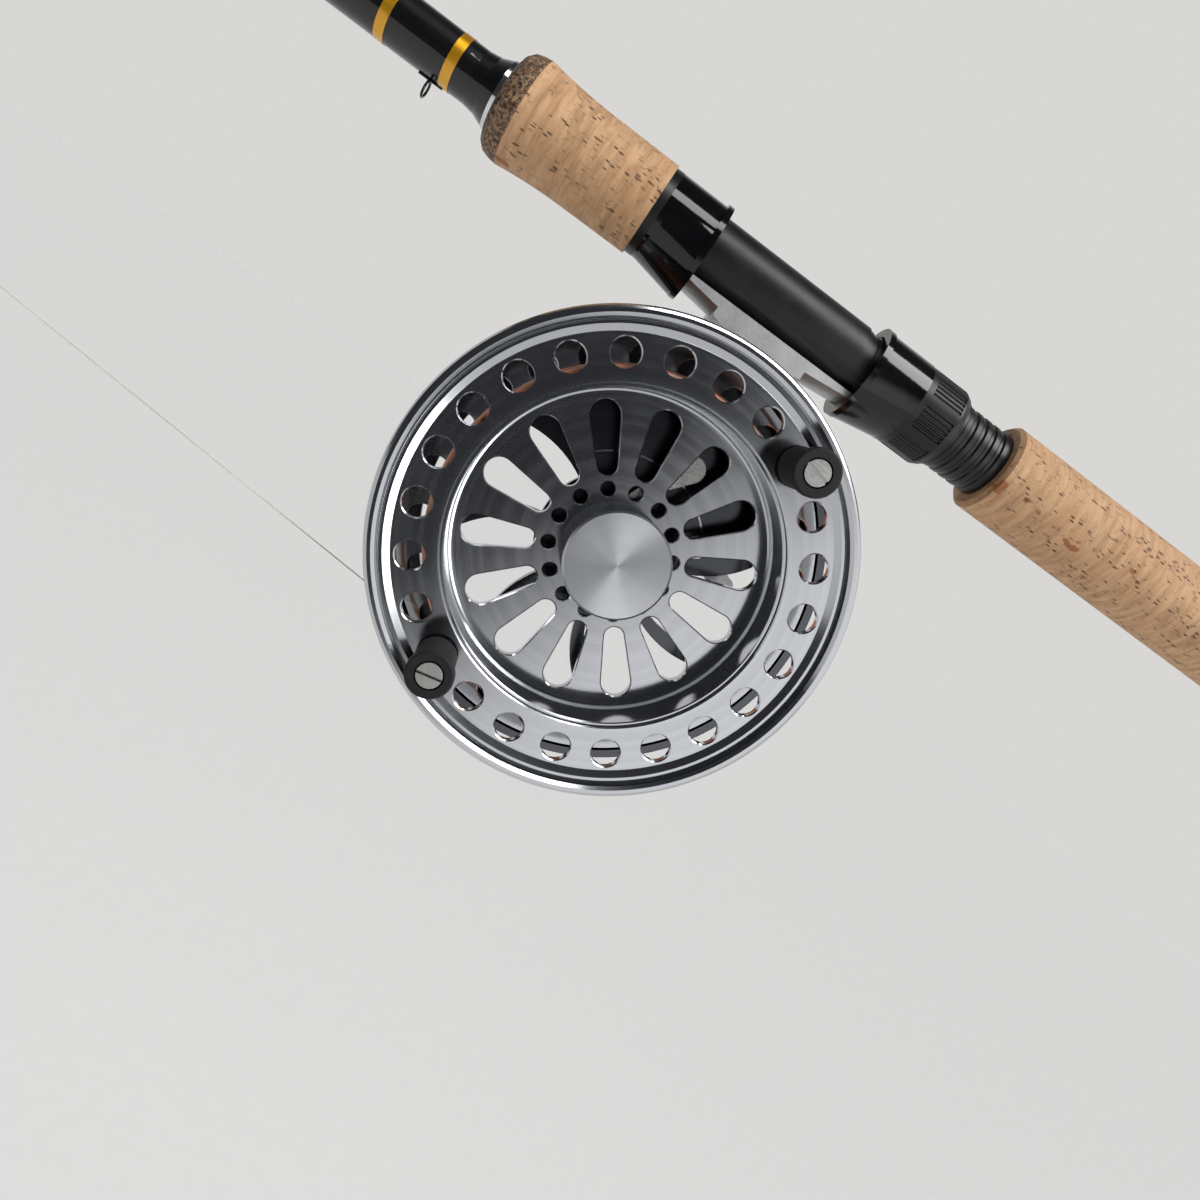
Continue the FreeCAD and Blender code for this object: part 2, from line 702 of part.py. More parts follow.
def drum_parts():
    """The perforated face with its rim bead, the line arbor, and the slotted web with its hub."""
    web_rear = web_front + web_t
    bead_back = flange_t + 1.0
    body = turned_y([
        (bearing_r, hub_front), (hub_r, hub_front), (hub_r, web_front), (recess_r - 0.7, web_front),
        (recess_r - 0.2, web_front - 0.2), (recess_r, web_front - 0.7), (recess_r, 1.3),
        (recess_r + 0.3, 1.0), (recess_r + 0.9, 1.0), (recess_r + 0.9, 0.3), (ring_edge_r, 0),
        (band_inner_r, 0), (band_inner_r, 0.35), (band_inner_r + 0.3, 0.35), (lip_r - 0.15, -lip_proud),
        (bead_inner_r - 0.75, -lip_proud), (bead_inner_r - 0.65, -lip_proud + 0.3),
        (bead_inner_r - 0.4, -lip_proud + 0.3), (bead_inner_r - 0.3, -lip_proud),
        (bead_inner_r, -lip_proud), (bead_inner_r, -bead_proud + 0.75), (bead_inner_r + 0.75, -bead_proud),
        (reel_outer_r - 1.05, -bead_proud), (reel_outer_r - 0.5, -bead_proud + 0.25),
        (reel_outer_r - 0.14, -bead_proud + 0.7), (reel_outer_r, -bead_proud + 1.3),
        (reel_outer_r, bead_back - 1.0), (reel_outer_r - 0.3, bead_back - 0.3),
        (reel_outer_r - 1.0, bead_back), (bead_inner_r - 0.5, bead_back), (bead_inner_r - 1.5, flange_t),
        (arbor_r + 0.8, flange_t), (arbor_r, flange_t + 0.8), (arbor_r, drum_depth),
        (recess_r, drum_depth), (recess_r, web_rear + 0.6), (recess_r - 0.6, web_rear),
        (hub_r, web_rear), (hub_r, hub_rear), (bearing_r, hub_rear)])
    bosses = []
    cuts = rim_holes(-1, flange_t + 1, rim_hole_phase, True)
    cuts += edge_breaks(rim_hole_places(rim_hole_phase, True), rim_hole_r, 0, flange_t)
    for angle in handle_angles:
        x, z = polar(rim_hole_pitch_r, angle)
        bosses.append(rod_y(handle_boss_r, -handle_boss, 0.1, x, z))
        cuts.append(rod_y(spindle_r, -handle_boss - 1, flange_t + 1, x, z))
    step = 360.0 / slot_count
    for i in range(slot_count):
        angle = slot_phase + i * step
        x, z = polar(web_hole_pitch_r, angle)
        cuts.append(teardrop(angle))
        cuts.append(rod_y(web_hole_r, web_front - 1, web_rear + 1, x, z))
        cuts += edge_breaks([(x, z)], web_hole_r, web_front, web_rear)
    body = fused([body] + bosses)
    cuts += [rod_y(flange_screw_r, drum_depth - flange_screw_depth, drum_depth + 1, x, z)
             for x, z in rear_screw_places()]
    body = body.cut(Part.makeCompound(cuts)).removeSplitter()
    core = rod_y(recess_r, -drum_depth, drum_depth * 2)
    sleeve_room = rod_y(arbor_r + 2, flange_t, drum_depth * 2)
    web = chamfered_slots(body.common(core).removeSplitter())
    shell = body.cut(core)
    return shell.cut(sleeve_room), shell.common(sleeve_room), web


def rear_screw_places():
    """Screws through the rear flange into the end of the arbor."""
    mid = (recess_r + arbor_r) / 2
    step = 360.0 / flange_screw_count
    return [polar(mid, flange_screw_start + step * i) for i in range(flange_screw_count)]


def spool_rear_flange():
    ring = tube_y(rear_flange_r, recess_r, drum_depth, drum_depth + rear_flange_t)
    half_step = 180.0 / rim_hole_count
    phase = rim_hole_phase + half_step
    rear = drum_depth + rear_flange_t
    cuts = rim_holes(drum_depth - 1, rear + 1, phase, False)
    cuts += edge_breaks(rim_hole_places(phase, False), rim_hole_r, drum_depth, rear)
    cuts += [rod_y(flange_screw_r, drum_depth - 1, drum_depth + rear_flange_t + 1, x, z)
             for x, z in rear_screw_places()]
    return ring.cut(Part.makeCompound(cuts))


def flange_screws():
    """Screws that hold the rear flange to the arbor, their heads flush with the flange."""
    rear = drum_depth + rear_flange_t
    front = drum_depth - flange_screw_depth
    return [rod_y(flange_screw_r, front, rear, x, z) for x, z in rear_screw_places()]


def line_pack():
    """The wound line: a closed ring on the arbor, slightly crowned."""
    front = flange_t + 1.0
    return turned_y([(arbor_r, front), (pack_r - 0.6, front), (pack_r, front + 2.5),
                     (pack_r, drum_depth - 2.5), (pack_r - 0.6, drum_depth), (arbor_r, drum_depth)])


def bearings():
    start = hub_front + bearing_inset
    end = hub_rear - bearing_rear_inset
    front = tube_y(bearing_r, pin_r + running, start, start + bearing_width)
    rear = tube_y(bearing_r, pin_r + running, end - bearing_width, end)
    spacer = tube_y(bearing_r, bearing_r - spacer_wall, start + bearing_width, end - bearing_width)
    return front, rear, spacer


def centre_pin():
    """The fixed steel pin that the drum turns on, shouldered against the backplate's boss."""
    front = hub_front - pin_front_reach
    rear = plate_boss_rear + pin_rear_reach
    step = hub_rear + slide_gap
    return turned_y([(0, front), (pin_r - pin_end_bevel, front), (pin_r, front + pin_end_bevel),
                     (pin_r, step), (pin_shoulder_r, step), (pin_shoulder_r, plate_front),
                     (pin_r, plate_front), (pin_r, rear), (0, rear)])


def pin_nuts():
    """The collar that keeps the drum on the pin, and the nut behind the backplate."""
    collar_rear = hub_front + bearing_inset / 2
    collar = tube_y(collar_r, pin_r, collar_rear - collar_width, collar_rear)
    end = plate_boss_rear + pin_nut_width
    rear = tube_y(pin_nut_corner_r, pin_r, plate_boss_rear, end)
    out = pin_nut_corner_r + 1
    flat = block(pin_nut_across, out, plate_boss_rear - 1, end + 1, -out, out)
    flats = [turned_about_y(flat, 60 * i) for i in range(6)]
    return [collar, rear.cut(Part.makeCompound(flats))]


def spindle_cap():
    """The knurled cap over the hub, with a room inside for the end of the pin."""
    body = turned_y([
        (0, cap_face), (cap_r - cap_chamfer, cap_face), (cap_r, cap_face + cap_chamfer), (cap_r, web_front),
        (hub_r, web_front), (hub_r, hub_front), (cap_room_r, hub_front), (cap_room_r, hub_front - cap_room),
        (0, hub_front - cap_room)])
    grooves = []
    for i in range(cap_groove_count):
        x, z = polar(cap_r, i * 360.0 / cap_groove_count)
        grooves.append(rod_y(cap_groove_r, cap_face + cap_groove_margin, web_front - cap_groove_margin, x, z))
    return body.cut(Part.makeCompound(grooves))


def ratchet():
    """The toothed ring of the check, on the back of the web round the hub."""
    front = web_front + web_t
    ring = tube_y(ratchet_r, hub_r, front, front + ratchet_t)
    pitch = 360.0 / ratchet_teeth
    gullet_r = ratchet_root * 0.55
    gullets = [rod_y(gullet_r, front - 1, front + ratchet_t + 1, *polar(ratchet_r, i * pitch))
               for i in range(ratchet_teeth)]
    return ring.cut(Part.makeCompound(gullets))


# ---------------------------------------------------------------- check and lever
def pawl_link(x0, z0, x1, z1, r0, r1, y0, y1):
    """A tapered link with round ends, lying in the XZ plane."""
    d = math.hypot(x1 - x0, z1 - z0)
    ux, uz = (x1 - x0) / d, (z1 - z0) / d
    lean = (r0 - r1) / d
    up = math.sqrt(1 - lean * lean)
    corners = []
    for (x, z, r, s) in ((x0, z0, r0, 1), (x1, z1, r1, 1), (x1, z1, r1, -1), (x0, z0, r0, -1)):
        nx, nz = ux * lean - s * uz * up, uz * lean + s * ux * up
        corners.append(Vec(x + nx * r, y0, z + nz * r))
    plate = Part.Face(Part.makePolygon(corners + corners[:1])).extrude(Vec(0, y1 - y0, 0))
    return fused([plate, rod_y(r0, y0, y1, x0, z0), rod_y(r1, y0, y1, x1, z1)])


def pawl():
    x0, z0 = pawl_pivot
    x1, z1 = pawl_tip
    rear = pawl_front + pawl_t
    body = pawl_link(x0, z0, x1, z1, pawl_head_r, pawl_nose_r, pawl_front, rear)
    return body.cut(rod_y(post_r + running, pawl_front - 1, rear + 1, x0, z0))


def pawl_screw():
    x0, z0 = pawl_pivot
    head_top = pawl_front - running
    head_front = head_top - pawl_screw_head_t
    head = rod_y(pawl_screw_head_r, head_front, head_top, x0, z0)
    out = pawl_screw_head_r + 1
    slot = block(x0 - out, x0 + out, head_front - 1, head_front + pawl_slot_depth,
                 z0 - slot_half, z0 + slot_half)
    shank = rod_y(post_r, head_top - 0.2, plate_front + plate_t, x0, z0)
    return head.cut(slot).fuse(shank).removeSplitter()


def pawl_spring():
    """A few turns of wire round the pawl's screw, between the pawl and the backplate."""
    x0, z0 = pawl_pivot
    start = pawl_front + pawl_t + free_gap + spring_wire_r
    gap = (plate_front - start - spring_wire_r) / spring_turns
    return [Part.makeTorus(spring_r, spring_wire_r, Vec(x0, start + gap * (i + 1), z0), AXIS_Y)
            for i in range(spring_turns)]


def check_lever():
    """The lever at the back, its shaft through the backplate, and the round cam plate in front."""
    x0, z0 = lever_pivot
    rear = plate_front + plate_t
    front = plate_front - running - lever_washer_t
    washer = rod_y(lever_washer_r, front, front + lever_washer_t, x0, z0)
    shaft = rod_y(lever_shaft_r, front + lever_washer_t / 2, rear + lever_t, x0, z0)
    x1, z1 = x0 + lever_arm, z0 - lever_arm * lever_drop_share
    arm_front = rear + running
    arm = pawl_link(x0, z0, x1, z1, lever_root_r, lever_end_r, arm_front, arm_front + lever_t)
    knob = rod_y(lever_knob_r, rear + lever_t / 2, rear + lever_t + lever_knob_h, x1, z1)
    return fused([washer, shaft, arm, knob])


# ---------------------------------------------------------------- handles
def handle_parts(angle, slot_angle):
    """One handle: the fixed screw spindle and the knob that turns on it."""
    x, z = polar(rim_hole_pitch_r, angle)
    recess_floor = knob_face + knob_recess
    base = -handle_boss - slide_gap
    flange_rear = knob_face + knob_tip_length
    knob_body = rod_y(knob_r, knob_face + knob_edge, base, x, z)
    flange = rod_y(knob_tip_r, knob_face, flange_rear, x, z)
    edges = [e for e in flange.Edges if e.Length > 2 * math.pi * knob_tip_r * 0.9]
    flange = flange.makeFillet(knob_edge, edges)
    neck_start = Vec(x, flange_rear - slide_gap, z)
    neck = Part.makeCone(knob_tip_r - slide_gap, knob_r, knob_tip_length / 2, neck_start, AXIS_Y)
    knob = fused([knob_body, flange, neck])
    bore = rod_y(spindle_r + running, knob_face - 1, base + 1, x, z)
    recess = rod_y(knob_recess_r, knob_face - 1, recess_floor, x, z)
    knob = knob.cut(bore).cut(recess).removeSplitter()
    head = rod_y(knob_screw_r, knob_face + running, recess_floor - running, x, z)
    slot = block(x - knob_r, x + knob_r, knob_face - 1, knob_face + knob_slot_depth,
                 z - slot_half, z + slot_half)
    slot.rotate(Vec(x, 0, z), AXIS_Y, -slot_angle)
    shank = rod_y(spindle_r, recess_floor - free_gap, flange_t, x, z)
    return knob, head.cut(slot).fuse(shank).removeSplitter()


# ---------------------------------------------------------------- guides and line
def guide_share(i):
    """0 at the guide beside the tip, 1 at the first guide from the reel."""
    return 1 - i / (guide_count - 1)


def guide_station(i):
    """Guides stand closer together towards the tip, each gap longer than the last by one step."""
    span = first_guide - rod_tip
    growth = 2 * (span - guide_count * tip_gap) / (guide_count * (guide_count - 1))
    left = guide_count - i
    return rod_tip + left * tip_gap + growth * left * (left - 1) / 2


def guide_ring_r(i):
    return ring_r_tip + (ring_r_butt - ring_r_tip) * guide_share(i) ** 2


def guide_drop(i):
    """The ring's middle, below the rod's axis."""
    return guide_height_tip + (guide_height_butt - guide_height_tip) * guide_share(i) ** 1.4


def guide_ring(i):
    x, r = guide_station(i), guide_ring_r(i)
    ring = Part.makeCylinder(r + ring_wall, ring_width, Vec(x - ring_width / 2, 0, -guide_drop(i)), AXIS_X)
    hole = Part.makeCylinder(r, ring_width + 2, Vec(x - ring_width, 0, -guide_drop(i)), AXIS_X)
    ring = ring.cut(hole)
    inner = [e for e in ring.Edges if abs(e.Length - 2 * math.pi * r) < 0.01]
    return ring.makeFillet(ring_edge, inner)


def wire(points, r):
    """Round wire along straight runs, with a ball at each joint."""
    pieces = [Part.makeSphere(r, p) for p in points[1:-1]]
    for a, b in zip(points[:-1], points[1:]):
        pieces.append(Part.makeCylinder(r, (b - a).Length, a, b - a))
    return fused(pieces)


def guide_frame(i):
    """Holder, a pair of legs to the front foot and one leg to the rear foot, all on the blank."""
    x, r = guide_station(i), guide_ring_r(i) + ring_wall
    drop = guide_drop(i)
    width = ring_width * 0.8
    mid = r + holder_wall / 2
    holder = Part.makeCylinder(r + holder_wall, width, Vec(x - width / 2, 0, -drop), AXIS_X)
    reach = leg_base + drop * leg_slope
    y_low, z_low = polar(mid, leg_clock)
    legs = []
    for s in (-1, 1):
        top = -blank_radius(x + s * reach) - foot_strip_t / 2
        for side in (-1, 1):
            low = Vec(x, side * y_low, z_low - drop)
            legs.append(wire([low, Vec(x + s * reach, side * leg_foot_half * 0.4, top)], leg_r))
        x0, x1 = sorted((x + s * reach, x + s * (reach + foot_strip)))
        legs.append(block(x0, x1, -leg_foot_half, leg_foot_half, top - foot_strip_t / 2, top + foot_strip_t))
    body = fused([holder] + legs)
    hole = Part.makeCylinder(r, 10, Vec(x - 5, 0, -drop), AXIS_X)
    far = reach + foot_strip + 5
    blank = turned_x([(x - far, 0), (x - far, blank_radius(x - far)), (x + far, blank_radius(x + far)),
                      (x + far, 0)])
    return body.cut(hole).cut(blank).removeSplitter()


def guide_wraps(i, frame):
    x = guide_station(i)
    reach = leg_base + guide_drop(i) * leg_slope
    wraps = []
    for s in (-1, 1):
        x0, x1 = sorted((x + s * (reach + 1), x + s * (reach + foot_strip + wrap_past_foot)))
        wraps.append(sleeve(x0, x1, guide_wrap_t, wrap_ramp).cut(frame))
    return wraps


def tip_top():
    """A tube over the end of the blank, with a small ring under it."""
    tube = rod_x(tip_tube_r, rod_tip - tip_cap, rod_tip + tip_tube_length)
    drop = tip_ring_drop()
    x = rod_tip - tip_ring_ahead
    outer = tip_ring_r + ring_wall + holder_wall
    width = ring_width * 0.75
    holder = Part.makeCylinder(outer, width, Vec(x - width / 2, 0, -drop), AXIS_X)
    arm_end = rod_tip + tip_tube_length / 2
    arm_y, arm_z = polar(outer * 0.9, leg_clock)
    arms = [wire([Vec(x, s * arm_y, arm_z - drop), Vec(arm_end, s * tip_arm_r * 3, 0)], tip_arm_r)
            for s in (-1, 1)]
    body = fused([tube, holder] + arms)
    hole = Part.makeCylinder(tip_ring_r + ring_wall, 4, Vec(x - 2, 0, -drop), AXIS_X)
    far = rod_tip + tip_tube_length * 2
    blank = turned_x([(rod_tip, 0), (rod_tip, blank_tip_r), (far, blank_radius(far)), (far, 0)])
    ring = Part.makeCylinder(tip_ring_r + ring_wall, ring_width, Vec(x - ring_width / 2, 0, -drop), AXIS_X)
    ring = ring.cut(Part.makeCylinder(tip_ring_r, 4, Vec(x - 2, 0, -drop), AXIS_X))
    return body.cut(hole).cut(blank).removeSplitter(), ring


def tip_ring_drop():
    return tip_ring_r + ring_wall + holder_wall + tip_ring_gap


def line_points():
    """The line's corners: off the underside of the wound line, over each ring's lowest point."""
    seat = line_r + line_seat
    rings = []
    for i in range(guide_count):
        rings.append(Vec(guide_station(i), 0, -guide_drop(i) - guide_ring_r(i) + seat))
    lane = face_offset + line_lane
    far = rings[0]
    reach = pack_r + free_gap + line_r
    across, down = far.x, -far.z - reel_drop
    span = math.hypot(across, down)
    heading = math.atan2(-down, across)
    turn = math.acos(reach / span)
    leave = heading + turn
    start = Vec(reach * math.cos(leave), lane, -reel_drop + reach * math.sin(leave))
    end = Vec(rod_tip - tip_ring_ahead - line_over_tip, 0, -tip_ring_drop() - tip_ring_r + seat)
    return [start] + rings + [end, end + Vec(line_tail[0], 0, line_tail[1])]


def line_tube(points):
    """Straight runs joined by tangent arcs, swept with a round section."""
    edges = []
    here = points[0]
    radii = []
    for a, b, c in zip(points[:-2], points[1:-1], points[2:]):
        into, out = (b - a).normalize(), (c - b).normalize()
        turn = into.getAngle(out)
        room = 0.45 * min((b - a).Length, (c - b).Length)
        radius = min(line_bend_r, room / math.tan(turn / 2))
        cut = radius * math.tan(turn / 2)
        first, last = b - into * cut, b + out * cut
        middle = b + (out - into).normalize() * (radius / math.cos(turn / 2) - radius)
        edges.append(Part.LineSegment(here, first).toShape())
        edges.append(Part.Arc(first, middle, last).toShape())
        here = last
        radii.append(round(radius, 2))
    edges.append(Part.LineSegment(here, points[-1]).toShape())
    path = Part.Wire(edges)
    start_way = (points[1] - points[0]).normalize()
    ring = Part.Wire([Part.Circle(points[0], start_way, line_r).toShape()])
    tube = path.makePipeShell([ring], True, False)
    print("line bend radii (mm):", radii)
    print("line length (mm):", round(path.Length, 1),
          "volume over section times length:", round(tube.Volume / (math.pi * line_r ** 2 * path.Length), 4))
    return tube


def swivel(end):
    """A small barrel swivel tied to the end of the line."""
    way = Vec(line_tail[0], 0, line_tail[1]).normalize()
    first_eye = end + way * (swivel_eye_r + line_r)
    barrel_start = first_eye + way * swivel_eye_r
    barrel_length = swivel_length - 4 * swivel_eye_r
    second_eye = barrel_start + way * (barrel_length + swivel_eye_r)
    barrel = Part.makeCylinder(swivel_barrel_r, barrel_length, barrel_start, way)
    eyes = [Part.makeTorus(swivel_eye_r, swivel_eye_wire_r, place, AXIS_Y)
            for place in (first_eye, second_eye)]
    knot = Part.makeSphere(knot_r, end + way * (knot_r / 2))
    return fused([barrel] + eyes + [knot])


# ---------------------------------------------------------------- build
def build_rod():
    butt, tip, spigot = blanks()
    save("blank_butt", butt)
    save("blank_tip", tip)
    save("blank_spigot", spigot)
    tip_start = rod_joint - spigot_neck
    save("joint_windings", [sleeve(rod_joint, rod_joint + joint_wrap, joint_wrap_t, wrap_ramp),
                            sleeve(tip_start - joint_wrap, tip_start, joint_wrap_t, wrap_ramp)])
    loop = keeper_ring()
    bands = [tube_x(wrap_r + band_t, wrap_r, s - band_width / 2, s + band_width / 2).cut(loop)
             for s in band_stations]
    save("gold_bands", bands)
    save("keeper_ring", loop)
    save("butt_whipping", butt_whipping().cut(loop))
    save("winding_check", tube_x(check_r, blank_r, check_front, grip_front_end))
    burl, cork = foregrip()
    save("foregrip_burl", burl)
    save("foregrip_cork", cork)
    save("foregrip_trim_ring", tube_x(trim_r, blank_r, trim_front, hood_front))
    save("seat_tube", seat_tube())
    save("fixed_hood", fixed_hood())
    save("movable_hood", movable_hood())
    save("lock_nut", lock_nut())
    cork, burl, cap = rear_grip()
    save("rear_grip_cork", cork)
    save("rear_grip_burl", burl)
    save("butt_cap", cap)


def build_guides():
    frames = [guide_frame(i) for i in range(guide_count)]
    for i in range(big_guides):
        save("guide_frame_" + str(i + 1), frames[i])
    save("guide_frames_small", frames[big_guides:])
    save("guide_rings", [guide_ring(i) for i in range(guide_count)])
    save("guide_whippings", [wrap for i in range(guide_count) for wrap in guide_wraps(i, frames[i])])
    top, ring = tip_top()
    save("tip_top", top)
    save("tip_ring", ring)
    points = line_points()
    fitting = swivel(points[-1])
    save("fishing_line", line_tube(points).cut(fitting))
    save("line_swivel", fitting)


def build_reel():
    save("reel_foot", reel_foot())
    save("foot_screws", foot_screws())
    front, rear, spacer = bearings()
    face, arbor, web = drum_parts()
    pieces = {
        "backplate": backplate(), "centre_pin": centre_pin(), "pin_nuts": pin_nuts(),
        "drum_face": face, "drum_arbor": arbor, "drum_web": web, "spool_rear_flange": spool_rear_flange(),
        "flange_screws": flange_screws(), "line_pack": line_pack(), "bearing_front": front,
        "bearing_rear": rear, "bearing_spacer": spacer, "spindle_cap": spindle_cap(),
        "ratchet_wheel": ratchet(), "pawl": pawl(), "pawl_screw": pawl_screw(),
        "pawl_spring": pawl_spring(), "check_lever": check_lever()}
    spindles = []
    for i, angles in enumerate(zip(handle_angles, knob_slot_angles)):
        knob, spindle = handle_parts(*angles)
        pieces["handle_knob_" + str(i + 1)] = knob
        spindles.append(spindle)
    pieces["handle_spindles"] = spindles
    for node, shape in pieces.items():
        solids = shape if isinstance(shape, list) else [shape]
        placed = [in_reel(s) for s in solids]
        save(node, placed if len(placed) > 1 else placed[0])


os.makedirs("parts", exist_ok=True)
build_rod()
build_guides()
build_reel()
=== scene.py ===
"""The looks of a float rod with a centrepin reel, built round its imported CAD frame."""

import json
import logging
import math
from dataclasses import dataclass
from enum import Enum
from typing import ClassVar, Protocol

import bmesh
import bpy
from mathutils import Matrix, Vector


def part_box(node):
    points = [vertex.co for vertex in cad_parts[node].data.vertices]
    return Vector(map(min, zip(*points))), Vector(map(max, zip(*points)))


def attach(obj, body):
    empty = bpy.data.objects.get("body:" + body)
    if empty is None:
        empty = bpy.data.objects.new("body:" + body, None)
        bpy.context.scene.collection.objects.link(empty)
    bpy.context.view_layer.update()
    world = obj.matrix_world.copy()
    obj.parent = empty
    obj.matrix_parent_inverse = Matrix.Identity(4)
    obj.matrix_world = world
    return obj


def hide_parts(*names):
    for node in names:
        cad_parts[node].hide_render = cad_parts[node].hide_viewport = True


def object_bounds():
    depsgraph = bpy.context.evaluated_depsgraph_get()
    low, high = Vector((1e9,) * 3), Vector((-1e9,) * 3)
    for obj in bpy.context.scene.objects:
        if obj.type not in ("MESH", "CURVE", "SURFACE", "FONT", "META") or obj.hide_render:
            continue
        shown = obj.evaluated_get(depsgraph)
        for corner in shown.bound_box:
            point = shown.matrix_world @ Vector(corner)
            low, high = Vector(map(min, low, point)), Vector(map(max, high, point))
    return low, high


LOG = logging.getLogger("rod_and_reel")
MM = 0.001
# the rim's bead stands this far in front of the drum's flat face, in metres
BEAD_PROUD = 0.003
# most of a noise texture's values lie between these two
NOISE_LOW = 0.3
NOISE_HIGH = 0.7
NYLON_IOR = 1.53
CERAMIC_IOR = 1.76
EPOXY_IOR = 1.5

# the line's corners, from the drum over the lowest point of each ring to the swivel, in metres
LINE_ROUTE = (
    (-0.18628, -0.00420, -0.11412), (-0.87590, 0.0, -0.02933), (-1.16814, 0.0, -0.02559),
    (-1.43511, 0.0, -0.02212), (-1.67679, 0.0, -0.01894), (-1.89319, 0.0, -0.01607),
    (-2.08432, 0.0, -0.01354), (-2.25016, 0.0, -0.01140), (-2.39072, 0.0, -0.00971),
    (-2.50600, 0.0, -0.00873), (-2.60260, 0.0, -0.00653), (-2.60610, 0.0, -0.01153))

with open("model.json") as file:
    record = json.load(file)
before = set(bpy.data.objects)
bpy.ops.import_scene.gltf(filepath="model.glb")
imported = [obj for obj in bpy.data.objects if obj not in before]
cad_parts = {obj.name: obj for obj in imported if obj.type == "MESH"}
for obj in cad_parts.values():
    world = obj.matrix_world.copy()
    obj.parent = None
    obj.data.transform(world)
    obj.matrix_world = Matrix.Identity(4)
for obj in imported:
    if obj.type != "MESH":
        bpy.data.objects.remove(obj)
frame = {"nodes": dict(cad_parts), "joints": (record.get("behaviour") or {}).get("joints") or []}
CAD_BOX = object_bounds()


# ---------------------------------------------------------------- small helpers
Colour = tuple[float, float, float, float]


def linear(hex_colour: str) -> Colour:
    """Turn an sRGB hex colour into linear light.

    Args:
        hex_colour: six hex digits, such as "c8a27a".

    Returns:
        Linear red, green and blue, and a full alpha.
    """
    parts = [int(hex_colour[i:i + 2], 16) / 255 for i in (0, 2, 4)]
    lin = [c / 12.92 if c <= 0.04045 else ((c + 0.055) / 1.055) ** 2.4 for c in parts]
    return lin[0], lin[1], lin[2], 1.0


def darkened(colour: Colour, share: float) -> Colour:
    """Take the same part off every channel of a colour.

    Args:
        colour: the linear colour.
        share: how much of it is taken off, from 0 to 1.

    Returns:
        The darker linear colour.
    """
    return tuple(c * (1 - share) for c in colour[:3]) + (1.0,)


def add(tree: bpy.types.NodeTree, kind: str, links: dict | None = None, **settings: object) -> bpy.types.Node:
    """Add one node, set it up and link its inputs.

    Args:
        tree: the node tree that gets it.
        kind: the node's type name.
        links: input name or index to the output socket that feeds it.
        **settings: input values by name with spaces as underscores, or the node's own properties.

    Returns:
        The new node.
    """
    node = tree.nodes.new(kind)
    for key, value in settings.items():
        if hasattr(node, key):
            setattr(node, key, value)
        else:
            node.inputs[key.replace("_", " ")].default_value = value
    for key, socket in (links or {}).items():
        tree.links.new(socket, node.inputs[key])
    return node


def math_node(tree: bpy.types.NodeTree, operation: str, *values: object) -> bpy.types.NodeSocket:
    """Work out one value from sockets or numbers.

    Args:
        tree: the node tree.
        operation: the Math node's operation.
        *values: sockets or numbers, in order.

    Returns:
        The result's socket.
    """
    node = add(tree, "ShaderNodeMath", operation=operation)
    for i, value in enumerate(values):
        if isinstance(value, bpy.types.NodeSocket):
            tree.links.new(value, node.inputs[i])
        else:
            node.inputs[i].default_value = value
    return node.outputs[0]


def ramp(tree: bpy.types.NodeTree, source: bpy.types.NodeSocket,
         stops: list[tuple[float, Colour]]) -> bpy.types.NodeSocket:
    """Map a value to colours.

    Args:
        tree: the node tree.
        source: the value.
        stops: (place, linear colour) pairs.

    Returns:
        The colour's socket.
    """
    node = add(tree, "ShaderNodeValToRGB", {"Fac": source})
    elements = node.color_ramp.elements
    while len(elements) < len(stops):
        elements.new(0.5)
    for element, (place, colour) in zip(elements, stops):
        element.position = place
        element.color = colour
    return node.outputs["Color"]


def mix(tree: bpy.types.NodeTree, share: object, low: object, high: object) -> bpy.types.NodeSocket:
    """Mix two colours.

    Args:
        tree: the node tree.
        share: how much of the second, a socket or a number.
        low: the first colour or socket.
        high: the second colour or socket.

    Returns:
        The mixed colour's socket.
    """
    node = add(tree, "ShaderNodeMix", data_type="RGBA")
    for name, value in (("Factor_Float", share), ("A_Color", low), ("B_Color", high)):
        socket = next(s for s in node.inputs if s.identifier == name)
        if isinstance(value, bpy.types.NodeSocket):
            tree.links.new(value, socket)
        else:
            socket.default_value = value
    return next(s for s in node.outputs if s.identifier == "Result_Color")


